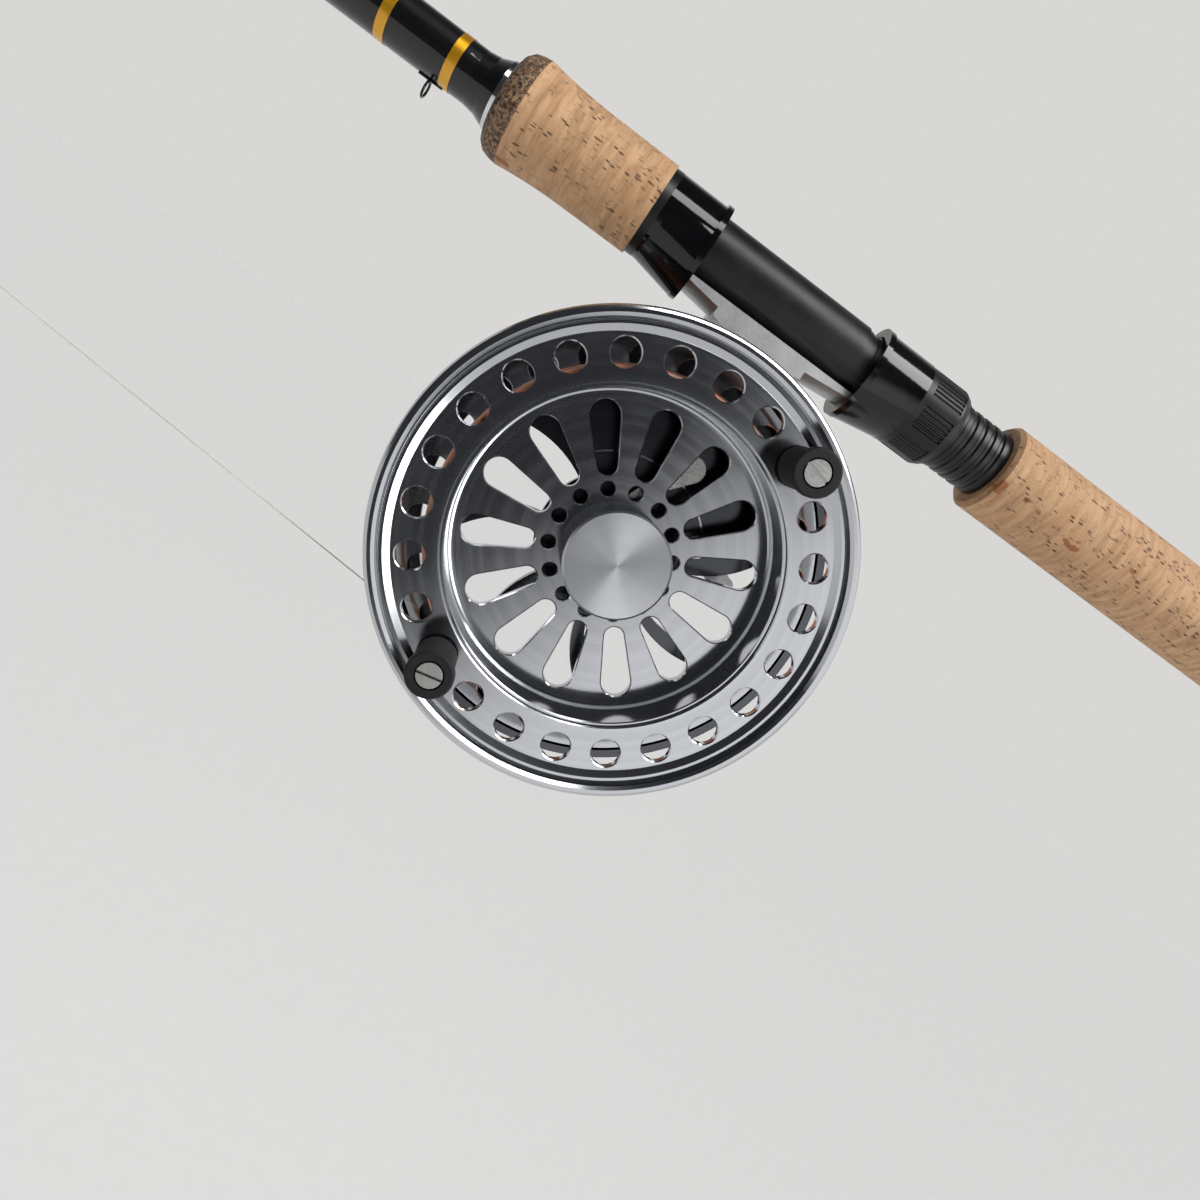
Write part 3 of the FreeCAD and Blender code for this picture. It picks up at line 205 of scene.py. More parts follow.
class Surface:
    """One material under construction: its tree, its shader and its object coordinates."""

    def __init__(self, name: str) -> None:
        """Start an empty material with a Principled shader.

        Args:
            name: the material's name.
        """
        self.material = bpy.data.materials.new(name)
        self.material.use_nodes = True
        self.tree = self.material.node_tree
        self.tree.nodes.clear()
        self.shader = add(self.tree, "ShaderNodeBsdfPrincipled")
        add(self.tree, "ShaderNodeOutputMaterial", {"Surface": self.shader.outputs[0]})
        self.place = add(self.tree, "ShaderNodeTexCoord").outputs["Object"]

    def scaled(self, scale: tuple[float, float, float],
               centre: tuple[float, float, float] | Vector = (0.0, 0.0, 0.0)) -> bpy.types.NodeSocket:
        """Object coordinates times a scale, from a centre.

        Args:
            scale: factor along each axis, per metre.
            centre: the point that becomes zero.

        Returns:
            The vector's socket.
        """
        offset = tuple(-at * factor for at, factor in zip(centre, scale))
        node = add(self.tree, "ShaderNodeMapping", {"Vector": self.place}, Location=offset, Scale=scale)
        return node.outputs[0]

    def noise(self, vector: bpy.types.NodeSocket, detail: float = 3.0,
              rough: float = 0.5) -> bpy.types.NodeSocket:
        """Soft noise over a vector whose unit is one grain.

        Args:
            vector: the scaled coordinates.
            detail: octaves.
            rough: how strong the finer octaves are.

        Returns:
            The noise value's socket.
        """
        node = add(self.tree, "ShaderNodeTexNoise", {"Vector": vector}, Scale=1.0, Detail=detail,
                   Roughness=rough)
        return node.outputs["Fac"]

    def remap(self, value: bpy.types.NodeSocket, low: float, high: float, to_low: float,
              to_high: float) -> bpy.types.NodeSocket:
        """Map one range onto another, clamped.

        Args:
            value: the input.
            low: start of the input's range.
            high: end of the input's range.
            to_low: result at low.
            to_high: result at high.

        Returns:
            The result's socket.
        """
        node = add(self.tree, "ShaderNodeMapRange", {"Value": value})
        for name, number in (("From Min", low), ("From Max", high), ("To Min", to_low), ("To Max", to_high)):
            node.inputs[name].default_value = number
        return node.outputs[0]

    def spread(self, noise: bpy.types.NodeSocket, to_low: float, to_high: float) -> bpy.types.NodeSocket:
        """Stretch the usual range of a noise onto another range.

        Args:
            noise: the noise value.
            to_low: result at the noise's low end.
            to_high: result at its high end.

        Returns:
            The result's socket.
        """
        return self.remap(noise, NOISE_LOW, NOISE_HIGH, to_low, to_high)

    def even(self, per_metre: float) -> bpy.types.NodeSocket:
        """Object coordinates times the same factor along every axis.

        Args:
            per_metre: the factor, grains per metre.

        Returns:
            The vector's socket.
        """
        return self.scaled((per_metre, per_metre, per_metre))

    def feed(self, **sockets: bpy.types.NodeSocket) -> None:
        """Link sockets to the shader's inputs, named with spaces as underscores."""
        for name, socket in sockets.items():
            self.tree.links.new(socket, self.shader.inputs[name.replace("_", " ")])

    def fix(self, **values: object) -> None:
        """Set plain values on the shader's inputs, named with spaces as underscores."""
        for name, value in values.items():
            self.shader.inputs[name.replace("_", " ")].default_value = value

    def bump(self, height: bpy.types.NodeSocket, depth_mm: float, strength: float) -> bpy.types.NodeSocket:
        """Turn a height from 0 to 1 into a normal.

        Args:
            height: the height's socket.
            depth_mm: the real depth in millimetres.
            strength: how much of it shows.

        Returns:
            The normal's socket.
        """
        node = add(self.tree, "ShaderNodeBump", {"Height": height}, Strength=strength,
                   Distance=depth_mm * MM)
        return node.outputs[0]


def drum_centre() -> Vector:
    """The middle of the drum's flat face, from the record's spool joint and the drum's own box.

    Returns:
        The point in metres in the row frame.
    """
    place = Vector(next(j["pos_m"] for j in frame["joints"] if j["name"] == "spool_spin"))
    place.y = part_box("drum_face")[0].y + BEAD_PROUD
    return place


REEL_CENTRE = drum_centre()


class Finish(Protocol):
    """Anything that can make a material."""

    def build(self, name: str) -> bpy.types.Material:
        """Make the material.

        Args:
            name: the material's name.

        Returns:
            The material.
        """


# ---------------------------------------------------------------- finishes
# a field that ends in _mm is in millimetres, and one that ends in _per_m counts a texture's grains per metre
@dataclass(frozen=True)
class TurnedAluminium:
    """Aluminium faced in a lathe and clear anodised: fine rings and a highlight that fans from the axis."""

    colour: str
    roughness: float
    ring_mm: float
    centre: Vector
    anisotropy: float
    streaks: float
    band_mm: float = 2.6
    handled_per_m: float = 90.0
    groove_mm: float = 0.012

    def build(self, name: str) -> bpy.types.Material:
        """Make the material.

        Args:
            name: the material's name.

        Returns:
            Anodised aluminium with lathe rings about the reel's axis.
        """
        s = Surface(name)
        t = s.tree
        x, y, z = add(t, "ShaderNodeSeparateXYZ", {"Vector": s.scaled((1, 1, 1), self.centre)}).outputs
        radius = math_node(t, "SQRT", math_node(t, "ADD", math_node(t, "MULTIPLY", x, x),
                                                math_node(t, "MULTIPLY", z, z)))
        # the rings follow the radius on faces that look along the axis, and the depth on walls
        normal = add(t, "ShaderNodeNewGeometry").outputs["Normal"]
        lean = add(t, "ShaderNodeSeparateXYZ", {"Vector": normal}).outputs["Y"]
        is_face = math_node(t, "GREATER_THAN", math_node(t, "ABSOLUTE", lean), 0.5)
        along = math_node(t, "ADD", math_node(t, "MULTIPLY", radius, is_face), y)
        # lathe rings about 0.15 mm apart are drawn as coarse as ring_mm so that they show
        fine = add(t, "ShaderNodeTexNoise", {"W": along}, noise_dimensions="1D",
                   Scale=1.0 / (self.ring_mm * MM), Detail=2.0).outputs["Fac"]
        coarse = add(t, "ShaderNodeTexNoise", {"W": along}, noise_dimensions="1D",
                     Scale=1.0 / (self.band_mm * MM), Detail=1.0).outputs["Fac"]
        handled = s.noise(s.even(self.handled_per_m), 4.0, 0.6)
        sway = self.roughness * 0.2 * self.streaks
        rough = s.spread(fine, self.roughness - sway, self.roughness + sway)
        rough = math_node(t, "ADD", rough, s.remap(handled, 0.45, 0.75, 0.0, 0.04))
        rough = math_node(t, "ADD", rough, s.remap(coarse, 0.35, 0.65, -sway, sway))
        base = linear(self.colour)
        tone = mix(t, s.remap(coarse, 0.35, 0.65, 0.0, 1.0), darkened(base, 0.16 * self.streaks), base)
        # the highlight fans out because the grooves run round the axis
        tangent = add(t, "ShaderNodeCombineXYZ", {"X": math_node(t, "MULTIPLY", z, -1.0), "Z": x})
        unit = add(t, "ShaderNodeVectorMath", {0: tangent.outputs[0]}, operation="NORMALIZE")
        s.feed(Base_Color=tone, Roughness=rough, Tangent=unit.outputs[0],
               Normal=s.bump(fine, self.groove_mm, 0.2 * self.streaks))
        s.fix(Metallic=1.0, Anisotropic=self.anisotropy)
        return s.material


@dataclass(frozen=True)
class BlastedAluminium:
    """Aluminium blasted with fine beads: even, pale and softly sparkling."""

    colour: str
    grit_mm: float = 0.35
    grit_depth_mm: float = 0.03
    cloud_per_m: float = 140.0
    roughness: float = 0.42

    def build(self, name: str) -> bpy.types.Material:
        """Make the material.

        Args:
            name: the material's name.

        Returns:
            Bead-blasted aluminium.
        """
        s = Surface(name)
        grit = s.noise(s.even(1 / (self.grit_mm * MM)), 3.0, 0.6)
        cloud = s.noise(s.even(self.cloud_per_m))
        base = linear(self.colour)
        s.feed(Base_Color=mix(s.tree, s.spread(cloud, 0, 1), darkened(base, 0.2), base),
               Roughness=s.spread(grit, self.roughness - 0.06, self.roughness + 0.08),
               Normal=s.bump(grit, self.grit_depth_mm, 0.5))
        s.fix(Metallic=1.0)
        return s.material


@dataclass(frozen=True)
class MachinedMetal:
    """Stainless steel or polished aluminium: turned or rolled, with faint scratches across Z."""

    colour: str
    roughness: float
    scratch_per_m: tuple[float, float, float] = (500.0, 500.0, 3200.0)
    scratch_depth_mm: float = 0.01
    cloud_per_m: float = 300.0

    def build(self, name: str) -> bpy.types.Material:
        """Make the material.

        Args:
            name: the material's name.

        Returns:
            Bare metal of this colour and roughness.
        """
        s = Surface(name)
        scratch = s.noise(s.scaled(self.scratch_per_m), 1.0)
        cloud = s.noise(s.even(self.cloud_per_m))
        base = linear(self.colour)
        s.feed(Base_Color=mix(s.tree, s.remap(cloud, 0.35, 0.7, 0, 1), base, darkened(base, 0.1)),
               Roughness=s.spread(scratch, self.roughness * 0.8, self.roughness * 1.3),
               Normal=s.bump(scratch, self.scratch_depth_mm, 0.08))
        s.fix(Metallic=1.0)
        return s.material


@dataclass(frozen=True)
class BlackPart:
    """Black plastic, lacquer or anodising: a dark base, a fine skin texture and a little dust."""

    colour: str
    gloss: "Gloss"
    skin_mm: float
    skin_depth_mm: float
    dust: float
    dust_colour: str = "6d6a63"
    speck_per_m: float = 420.0
    smudge_per_m: float = 70.0

    def build(self, name: str) -> bpy.types.Material:
        """Make the material.

        Args:
            name: the material's name.

        Returns:
            A black part of this gloss.
        """
        s = Surface(name)
        t = s.tree
        roughness, specular = self.gloss.value
        skin = s.noise(s.even(1 / (self.skin_mm * MM)), 2.0)
        smudge = s.noise(s.even(self.smudge_per_m), 5.0, 0.62)
        speck = add(t, "ShaderNodeTexVoronoi", {"Vector": s.even(self.speck_per_m)}, Scale=1.0)
        dot = s.remap(speck.outputs["Distance"], 0.03, 0.06, self.dust * 4, 0.0)
        film = s.remap(smudge, 0.5, 0.8, 0.0, self.dust)
        cover = math_node(t, "MINIMUM", math_node(t, "ADD", dot, film), 1.0)
        s.feed(Base_Color=mix(t, cover, linear(self.colour), linear(self.dust_colour)),
               Roughness=s.remap(smudge, 0.3, 0.75, roughness * 0.85, roughness * 1.25),
               Normal=s.bump(skin, self.skin_depth_mm, 0.5))
        s.fix(Specular_IOR_Level=specular)
        return s.material


@dataclass(frozen=True)
class ThreadUnderEpoxy:
    """Silk thread wound round the blank and drowned in clear epoxy: a glassy skin over fine ridges, with
    painted shade in the grooves between the threads.
    """

    colour: str
    # the darker colour painted into the grooves between the threads, as painted shade
    painted_groove_shade: str
    thread_mm: float = 0.22
    metallic: float = 0.0
    wobble_per_m: tuple[float, float, float] = (400.0, 900.0, 900.0)
    streak_per_m: tuple[float, float, float] = (60.0, 700.0, 700.0)
    lump_per_m: tuple[float, float, float] = (190.0, 110.0, 110.0)
    ridge_depth_mm: float = 0.04
    lump_depth_mm: float = 0.25

    def build(self, name: str) -> bpy.types.Material:
        """Make the material.

        Args:
            name: the material's name.

        Returns:
            Varnished thread, the ridges across X, its colour darkened in the grooves between them as painted
            shade.
        """
        s = Surface(name)
        t = s.tree
        split = add(t, "ShaderNodeSeparateXYZ", {"Vector": s.scaled((1 / (self.thread_mm * MM), 1, 1))})
        wobble = s.noise(s.scaled(self.wobble_per_m), 2.0)
        phase = math_node(t, "ADD", split.outputs[0], math_node(t, "MULTIPLY", wobble, 0.6))
        ridge = math_node(t, "ABSOLUTE", math_node(t, "SINE", math_node(t, "MULTIPLY", phase, math.pi)))
        streak = s.noise(s.scaled(self.streak_per_m), 4.0, 0.6)
        lump = s.noise(s.scaled(self.lump_per_m), 2.0)
        # painted shade: the base colour runs from the groove colour between the threads to the thread's own
        # colour on the crests
        s.feed(Base_Color=mix(t, s.remap(ridge, 0.2, 0.9, 0.0, 1.0), linear(self.painted_groove_shade), linear(self.colour)),
               Roughness=s.spread(streak, 0.3, 0.5), Normal=s.bump(ridge, self.ridge_depth_mm, 0.5),
               Coat_Normal=s.bump(lump, self.lump_depth_mm, 0.4))
        s.fix(Metallic=self.metallic, Specular_IOR_Level=0.15, Coat_Weight=1.0, Coat_Roughness=0.03,
              Coat_IOR=EPOXY_IOR)
        return s.material


@dataclass(frozen=True)
class SandedCork:
    """Cork rings sanded round: tan, with growth lines across the rings, dark pores and brown filler."""

    pale: str = "c39c74"
    warm: str = "96704c"
    pore: str = "3a2112"
    filler: str = "8a4d22"
    blotch: str = "bd9168"
    ring_tint: str = "b58a62"
    glue: str = "6d4529"
    ring_mm: float = 12.5
    relief_mm: float = 0.28
    grain_per_m: tuple[float, float, float] = (620.0, 130.0, 130.0)
    blotch_per_m: float = 90.0
    patch_per_m: tuple[float, float, float] = (95.0, 150.0, 150.0)
    patch_centre: tuple[float, float, float] = (0.3, 0.1, 0.2)
    pore_per_m: tuple[float, float, float] = (420.0, 1100.0, 1100.0)
    string_per_m: tuple[float, float, float] = (70.0, 420.0, 420.0)
    fleck_per_m: tuple[float, float, float] = (500.0, 1700.0, 1700.0)
    turning_per_m: float = 2200.0

    def pores(self, s: Surface) -> bpy.types.NodeSocket:
        """Where the cork is pitted.

        Args:
            s: the surface under construction.

        Returns:
            1 in a pore and 0 on sound cork.
        """
        # lenticels: short dark streaks along the rod, about 0.4 mm wide and 2 mm long, in strings
        cell = add(s.tree, "ShaderNodeTexVoronoi", {"Vector": s.scaled(self.pore_per_m)}, Scale=1.0)
        string = s.noise(s.scaled(self.string_per_m), 3.0, 0.7)
        pore = math_node(s.tree, "MULTIPLY", s.remap(cell.outputs["Distance"], 0.2, 0.38, 1.0, 0.0),
                         s.remap(string, 0.49, 0.57, 0.0, 1.0))
        fleck = s.remap(s.noise(s.scaled(self.fleck_per_m), 3.0, 0.6), 0.64, 0.72, 0.0, 0.7)
        return math_node(s.tree, "MAXIMUM", pore, fleck)

    def build(self, name: str) -> bpy.types.Material:
        """Make the material.

        Args:
            name: the material's name.

        Returns:
            Cork with pores, filler patches and the faint joins of its rings.
        """
        s = Surface(name)
        t = s.tree
        along = add(t, "ShaderNodeSeparateXYZ", {"Vector": s.place}).outputs["X"]
        # growth lines run round the grip, as cork rings are cut across the bark
        grain = s.noise(s.scaled(self.grain_per_m), 5.0, 0.65)
        blotch = s.noise(s.even(self.blotch_per_m))
        ring = math_node(t, "MULTIPLY", along, 1 / (self.ring_mm * MM))
        own = add(t, "ShaderNodeTexWhiteNoise", {"W": math_node(t, "FLOOR", ring)}, noise_dimensions="1D")
        colour = mix(t, s.remap(grain, 0.36, 0.68, 0, 1), linear(self.pale), linear(self.warm))
        colour = mix(t, s.remap(blotch, 0.4, 0.7, 0.0, 0.4), colour, linear(self.blotch))
        colour = mix(t, s.remap(own.outputs["Value"], 0.0, 1.0, 0.0, 0.28), colour, linear(self.ring_tint))
        patch = s.noise(s.scaled(self.patch_per_m, self.patch_centre), 2.5, 0.7)
        colour = mix(t, s.remap(patch, 0.675, 0.7, 0.0, 0.85), colour, linear(self.filler))
        pores = self.pores(s)
        colour = mix(t, math_node(t, "MULTIPLY", pores, 0.85), colour, linear(self.pore))
        from_middle = math_node(t, "ABSOLUTE", math_node(t, "SUBTRACT", math_node(t, "FRACT", ring), 0.5))
        colour = mix(t, s.remap(from_middle, 0.49, 0.497, 0.0, 0.4), colour, linear(self.glue))
        turning = add(t, "ShaderNodeTexNoise", {"W": along}, noise_dimensions="1D",
                      Scale=self.turning_per_m, Detail=1.0)
        sound = math_node(t, "SUBTRACT", 1.0, pores)
        height = math_node(t, "MULTIPLY", sound, 0.8)
        for layer, share in ((grain, 0.25), (turning.outputs["Fac"], 0.08)):
            height = math_node(t, "ADD", height, math_node(t, "MULTIPLY", layer, share))
        s.feed(Base_Color=colour, Roughness=s.spread(grain, 0.6, 0.78),
               Normal=s.bump(height, self.relief_mm, 0.8))
        s.fix(Sheen_Weight=0.05, Sheen_Roughness=0.5)
        return s.material


@dataclass(frozen=True)
class BurlCork:
    """Ground cork pressed with rubber: tan grains under a millimetre across, crowded with black specks."""

    chip_mm: float = 0.9
    warp_per_m: float = 500.0
    speck_per_m: float = 1500.0
    speck_depth_mm: float = 0.12
    speck: str = "17120f"
    chips: tuple[tuple[float, str], ...] = (
        (0.0, "614a38"), (0.35, "86694f"), (0.6, "9c7d5e"), (0.8, "6b4c35"), (1.0, "33241a"))

    def build(self, name: str) -> bpy.types.Material:
        """Make the material.

        Args:
            name: the material's name.

        Returns:
            Speckled composite cork.
        """
        s = Surface(name)
        t = s.tree
        warp = s.noise(s.even(self.warp_per_m), 2.0)
        cells = add(t, "ShaderNodeTexVoronoi", {"Vector": s.even(1 / (self.chip_mm * MM))}, Scale=1.0)
        grey = add(t, "ShaderNodeSeparateColor", {"Color": cells.outputs["Color"]}).outputs[0]
        chips = ramp(t, grey, [(place, linear(tone)) for place, tone in self.chips])
        fine = s.noise(s.even(self.speck_per_m), 3.0, 0.7)
        s.feed(Base_Color=mix(t, s.remap(fine, 0.5, 0.58, 0.0, 0.92), chips, linear(self.speck)),
               Roughness=s.spread(warp, 0.55, 0.75), Normal=s.bump(fine, self.speck_depth_mm, 0.6))
        return s.material


@dataclass(frozen=True)
class WoundLine:
    """Monofilament wound tight on the drum: peach coloured, glassy, one turn beside the next, with painted
    shade between the turns.
    """

    colour: str = "d58f6b"
    # the darker brown painted between the turns, as painted shade
    painted_groove_shade: str = "7d4630"
    turn_mm: float = 0.42
    ridge_depth_mm: float = 0.15
    wander_per_m: tuple[float, float, float] = (60.0, 200.0, 60.0)
    glow_depth_mm: float = 0.6

    def build(self, name: str) -> bpy.types.Material:
        """Make the material.

        Args:
            name: the material's name.

        Returns:
            Nylon line, the turns across Y, darker between them as painted shade.
        """
        s = Surface(name)
        t = s.tree
        wander = s.noise(s.scaled(self.wander_per_m))
        split = add(t, "ShaderNodeSeparateXYZ", {"Vector": s.scaled((1, 1 / (self.turn_mm * MM), 1))})
        phase = math_node(t, "ADD", split.outputs["Y"], math_node(t, "MULTIPLY", wander, 3.0))
        ridge = math_node(t, "ABSOLUTE", math_node(t, "SINE", math_node(t, "MULTIPLY", phase, math.pi)))
        # painted shade: the base colour runs from the groove colour between the turns to the line's own peach
        # on the crests
        s.feed(Base_Color=mix(t, s.remap(ridge, 0.15, 0.8, 0, 1), linear(self.painted_groove_shade), linear(self.colour)),
               Roughness=s.spread(wander, 0.22, 0.36), Normal=s.bump(ridge, self.ridge_depth_mm, 0.8))
        s.fix(Subsurface_Weight=0.15, Subsurface_Scale=self.glow_depth_mm * MM, IOR=NYLON_IOR)
        return s.material


@dataclass(frozen=True)
class ClearLine:
    """One strand of monofilament: pale, glossy, nearly colourless against the light."""

    colour: str = "cdbfae"
    glint: str = "e6ddd0"
    tint_per_m: float = 40.0

    def build(self, name: str) -> bpy.types.Material:
        """Make the material.

        Args:
            name: the material's name.

        Returns:
            Nylon monofilament.
        """
        s = Surface(name)
        tint = s.noise(s.even(self.tint_per_m), 2.0)
        s.feed(Base_Color=mix(s.tree, s.spread(tint, 0, 1), linear(self.colour), linear(self.glint)),
               Roughness=s.spread(tint, 0.12, 0.2))
        s.fix(IOR=NYLON_IOR, Transmission_Weight=0.25)
        return s.material


@dataclass(frozen=True)
class PolishedCeramic:
    """Ring ceramic: dark grey, dense and polished."""

    colour: str = "3d4148"
    grain_colour: str = "4d525a"
    grain_per_m: float = 3000.0

    def build(self, name: str) -> bpy.types.Material:
        """Make the material.

        Args:
            name: the material's name.

        Returns:
            Polished ring ceramic.
        """
        s = Surface(name)
        grain = s.noise(s.even(self.grain_per_m), 2.0)
        s.feed(Base_Color=mix(s.tree, s.spread(grain, 0, 1), linear(self.colour), linear(self.grain_colour)),
               Roughness=s.spread(grain, 0.08, 0.14))
        s.fix(IOR=CERAMIC_IOR)
        return s.material


@dataclass(frozen=True)
class TurnedBrass:
    """Brass, turned and slightly tarnished."""

    colour: str = "b08d4c"
    tarnish_colour: str = "6b5230"
    tarnish_per_m: float = 500.0

    def build(self, name: str) -> bpy.types.Material:
        """Make the material.

        Args:
            name: the material's name.

        Returns:
            Brass.
        """
        s = Surface(name)
        tarnish = s.noise(s.even(self.tarnish_per_m))
        s.feed(Base_Color=mix(s.tree, s.remap(tarnish, 0.4, 0.7, 0, 1), linear(self.colour),
                              linear(self.tarnish_colour)),
               Roughness=s.spread(tarnish, 0.22, 0.4))
        s.fix(Metallic=1.0)
        return s.material


# ---------------------------------------------------------------- shared steps
def finish_mesh(mesh: bmesh.types.BMesh, name: str, material: bpy.types.Material,
                crisp_degrees: float = 35.0) -> bpy.types.Object:
    """Turn a bmesh into a finished piece at the origin.

    Args:
        mesh: the shape, in metres in the row frame. It is freed.
        name: the piece's name.
        material: its finish.
        crisp_degrees: edges sharper than this stay crisp.

    Returns:
        The new object.
    """
    bmesh.ops.remove_doubles(mesh, verts=mesh.verts, dist=1e-7)
    bmesh.ops.recalc_face_normals(mesh, faces=mesh.faces)
    for face in mesh.faces:
        face.smooth = True
    for edge in mesh.edges:
        if len(edge.link_faces) == 2:
            edge.smooth = edge.calc_face_angle() < math.radians(crisp_degrees)
    data = bpy.data.meshes.new(name)
    mesh.to_mesh(data)
    mesh.free()
    data.materials.append(material)
    piece = bpy.data.objects.new(name, data)
    bpy.context.scene.collection.objects.link(piece)
    return piece


# ---------------------------------------------------------------- the finishes, by name
class Gloss(Enum):
    """How shiny a black part is: its roughness and its specular level."""

    MATT = (0.62, 0.3)
    SATIN = (0.36, 0.38)
    GLOSS = (0.09, 0.5)


class Look(Enum):
    """Every finish on the rod and reel. The value is the material's name."""

    BLANK = "gloss_black_blank"
    WHIPPING = "black_thread_under_epoxy"
    GOLD = "gold_thread_under_epoxy"
    CHECK_RING = "polished_check_ring"
    CORK = "sanded_cork"
    BURL = "rubberised_cork"
    SEAT = "satin_black_seat"
    HOOD = "gloss_black_moulding"
    RUBBER = "matt_black_knob"
    WIRE = "black_plated_wire"
    CERAMIC = "ring_ceramic"
    DRUM = "turned_aluminium_drum"
    CAP = "turned_aluminium_cap"
    PLATE = "turned_aluminium_backplate"
    FOOT = "bead_blasted_aluminium"
    STEEL = "satin_stainless_steel"
    BRASS = "turned_brass"
    LINE = "clear_monofilament"
    PACK = "wound_monofilament"


class Palette:
    """Makes each finish once, when a sub-assembly first asks for it."""

    def __init__(self) -> None:
        """Write down how each finish is made."""
        self.made: dict[Look, bpy.types.Material] = {}
        self.recipes: dict[Look, Finish] = {
            # varnished carbon: near black, with one long clean streak of light
            Look.BLANK: BlackPart("08080a", Gloss.GLOSS, skin_mm=1.6, skin_depth_mm=0.02, dust=0.03),
            # thread drowned in epoxy: deep black under a thick glassy skin with soft lumps, and a still
            # darker painted shade in the grooves
            Look.WHIPPING: ThreadUnderEpoxy("060607", painted_groove_shade="030303"),
            # metallic thread: flashes bright gold on the ridges and goes amber between them, the amber a
            # painted shade in the grooves
            Look.GOLD: ThreadUnderEpoxy("f6ba2a", painted_groove_shade="9a6210", thread_mm=0.25, metallic=0.9),
            # polished aluminium: one hard white glint between black and cork, and on the check's cam
            Look.CHECK_RING: MachinedMetal("dcdcdc", roughness=0.12),
            # natural cork: warm tan, matt, pitted with dark lenticels
            Look.CORK: SandedCork(),
            # cork ground up with rubber: brown and black speckle
            Look.BURL: BurlCork(),
            # anodised tube and moulded nut: soft grey sheen along the top, never a mirror
            Look.SEAT: BlackPart("0d0d0f", Gloss.SATIN, skin_mm=0.5, skin_depth_mm=0.02, dust=0.03),
            # moulded hoods: black glass with crisp streaks and a few dust specks
            Look.HOOD: BlackPart("08080a", Gloss.GLOSS, skin_mm=2.2, skin_depth_mm=0.02, dust=0.03),
            # soft-touch plastic: dull charcoal that swallows the light
            Look.RUBBER: BlackPart("131315", Gloss.MATT, skin_mm=0.3, skin_depth_mm=0.03, dust=0.06),
            # black-plated guide wire: thin hard highlights
            Look.WIRE: BlackPart("0a0a0c", Gloss.GLOSS, skin_mm=0.8, skin_depth_mm=0.01, dust=0.0),
            # aluminium oxide ring: dark grey with a wet polish inside
            Look.CERAMIC: PolishedCeramic(),
            # faced and clear-anodised drum: mirrors its surroundings, softened round the lathe rings
            Look.DRUM: TurnedAluminium("c6c8cc", roughness=0.13, ring_mm=0.3, centre=REEL_CENTRE,
                                       anisotropy=0.45, streaks=0.5),
            # the cap's spun face: pale wedges of light that meet in the middle
            Look.CAP: TurnedAluminium("c2c4c7", roughness=0.3, ring_mm=0.16, centre=REEL_CENTRE,
                                       anisotropy=0.85, streaks=0.12),
            # the backplate: grey-anodised, glossier and much darker than the drum
            Look.PLATE: TurnedAluminium("5a5c60", roughness=0.17, ring_mm=0.3, centre=REEL_CENTRE,
                                       anisotropy=0.3, streaks=0.4),
            # blasted foot: even pale grey with a fine sparkle
            Look.FOOT: BlastedAluminium("c9cacb"),
            # screws, nuts and bearings: satin grey with tool marks
            Look.STEEL: MachinedMetal("c4c3c0", roughness=0.24),
            # swivel: yellow metal gone a little brown
            Look.BRASS: TurnedBrass(),
            # one strand of nylon: a thin pale glint
            Look.LINE: ClearLine(),
            # hundreds of turns together: the peach colour of thick nylon, with painted shade between the
            # turns
            Look.PACK: WoundLine()}

    def of(self, look: Look) -> bpy.types.Material:
        """The material for a look.

        Args:
            look: which finish.

        Returns:
            The material, made on the first call.
        """
        if look not in self.made:
            self.made[look] = self.recipes[look].build(look.value)
        return self.made[look]


# ---------------------------------------------------------------- turned pieces
def turned_piece(name: str, outline: list[tuple[float, float]], centre: Vector, steps: int,
                 span_degrees: float = 360.0, start_degrees: float = 0.0,
                 closed: bool = False) -> bmesh.types.BMesh:
    """Turn an outline about an axis along Y.

    Args:
        name: what it is, for the log.
        outline: (radius, depth) pairs in metres, depth along +Y from the centre.
        centre: a point on the axis, at depth zero.
        steps: how many steps the turn takes.
        span_degrees: how far round it goes.
        start_degrees: where it starts, from +X towards +Z.
        closed: whether the outline's last point joins its first.

    Returns:
        The shape, in metres in the row frame.
    """
    mesh = bmesh.new()
    a = math.radians(start_degrees)
    verts = [mesh.verts.new(centre + Vector((r * math.cos(a), y, r * math.sin(a)))) for r, y in outline]
    pairs = list(zip(verts[:-1], verts[1:]))
    if closed:
        pairs.append((verts[-1], verts[0]))
    edges = [mesh.edges.new(pair) for pair in pairs]
    whole = span_degrees >= 360.0
    bmesh.ops.spin(mesh, geom=verts + edges, cent=centre, axis=Vector((0, -1, 0)), dvec=Vector((0, 0, 0)),
                   angle=math.radians(span_degrees), steps=steps, use_merge=whole, use_normal_flip=False,
                   use_duplicate=False)
    LOG.info("turned %s: %d faces", name, len(mesh.faces))
    return mesh


# ---------------------------------------------------------------- sub-assemblies
@dataclass
class SubAssembly:
    """One part of the rod or reel: its CAD nodes, their looks and any pieces of its own, sized in metres."""

    palette: Palette
    looks: ClassVar[dict[Look, tuple[str, ...]]] = {}

    def build(self) -> None:
        """Make the sub-assembly's own pieces. Most have none."""

    def dress(self) -> None:
        """Give every CAD node of the sub-assembly its finish."""
        for look, nodes in self.looks.items():
            for name in nodes:
                slots = frame["nodes"][name].data.materials
                slots.clear()
                slots.append(self.palette.of(look))
            LOG.info("%s: %s", look.value, ", ".join(nodes))


@dataclass
class Blank(SubAssembly):
    """The two halves of the blank with their windings and the keeper ring."""

    looks: ClassVar[dict[Look, tuple[str, ...]]] = {
        Look.BLANK: ("blank_butt", "blank_tip", "blank_spigot"),
        Look.WHIPPING: ("butt_whipping", "joint_windings"),
        Look.GOLD: ("gold_bands",),
        Look.WIRE: ("keeper_ring",),
        Look.CHECK_RING: ("winding_check",)}


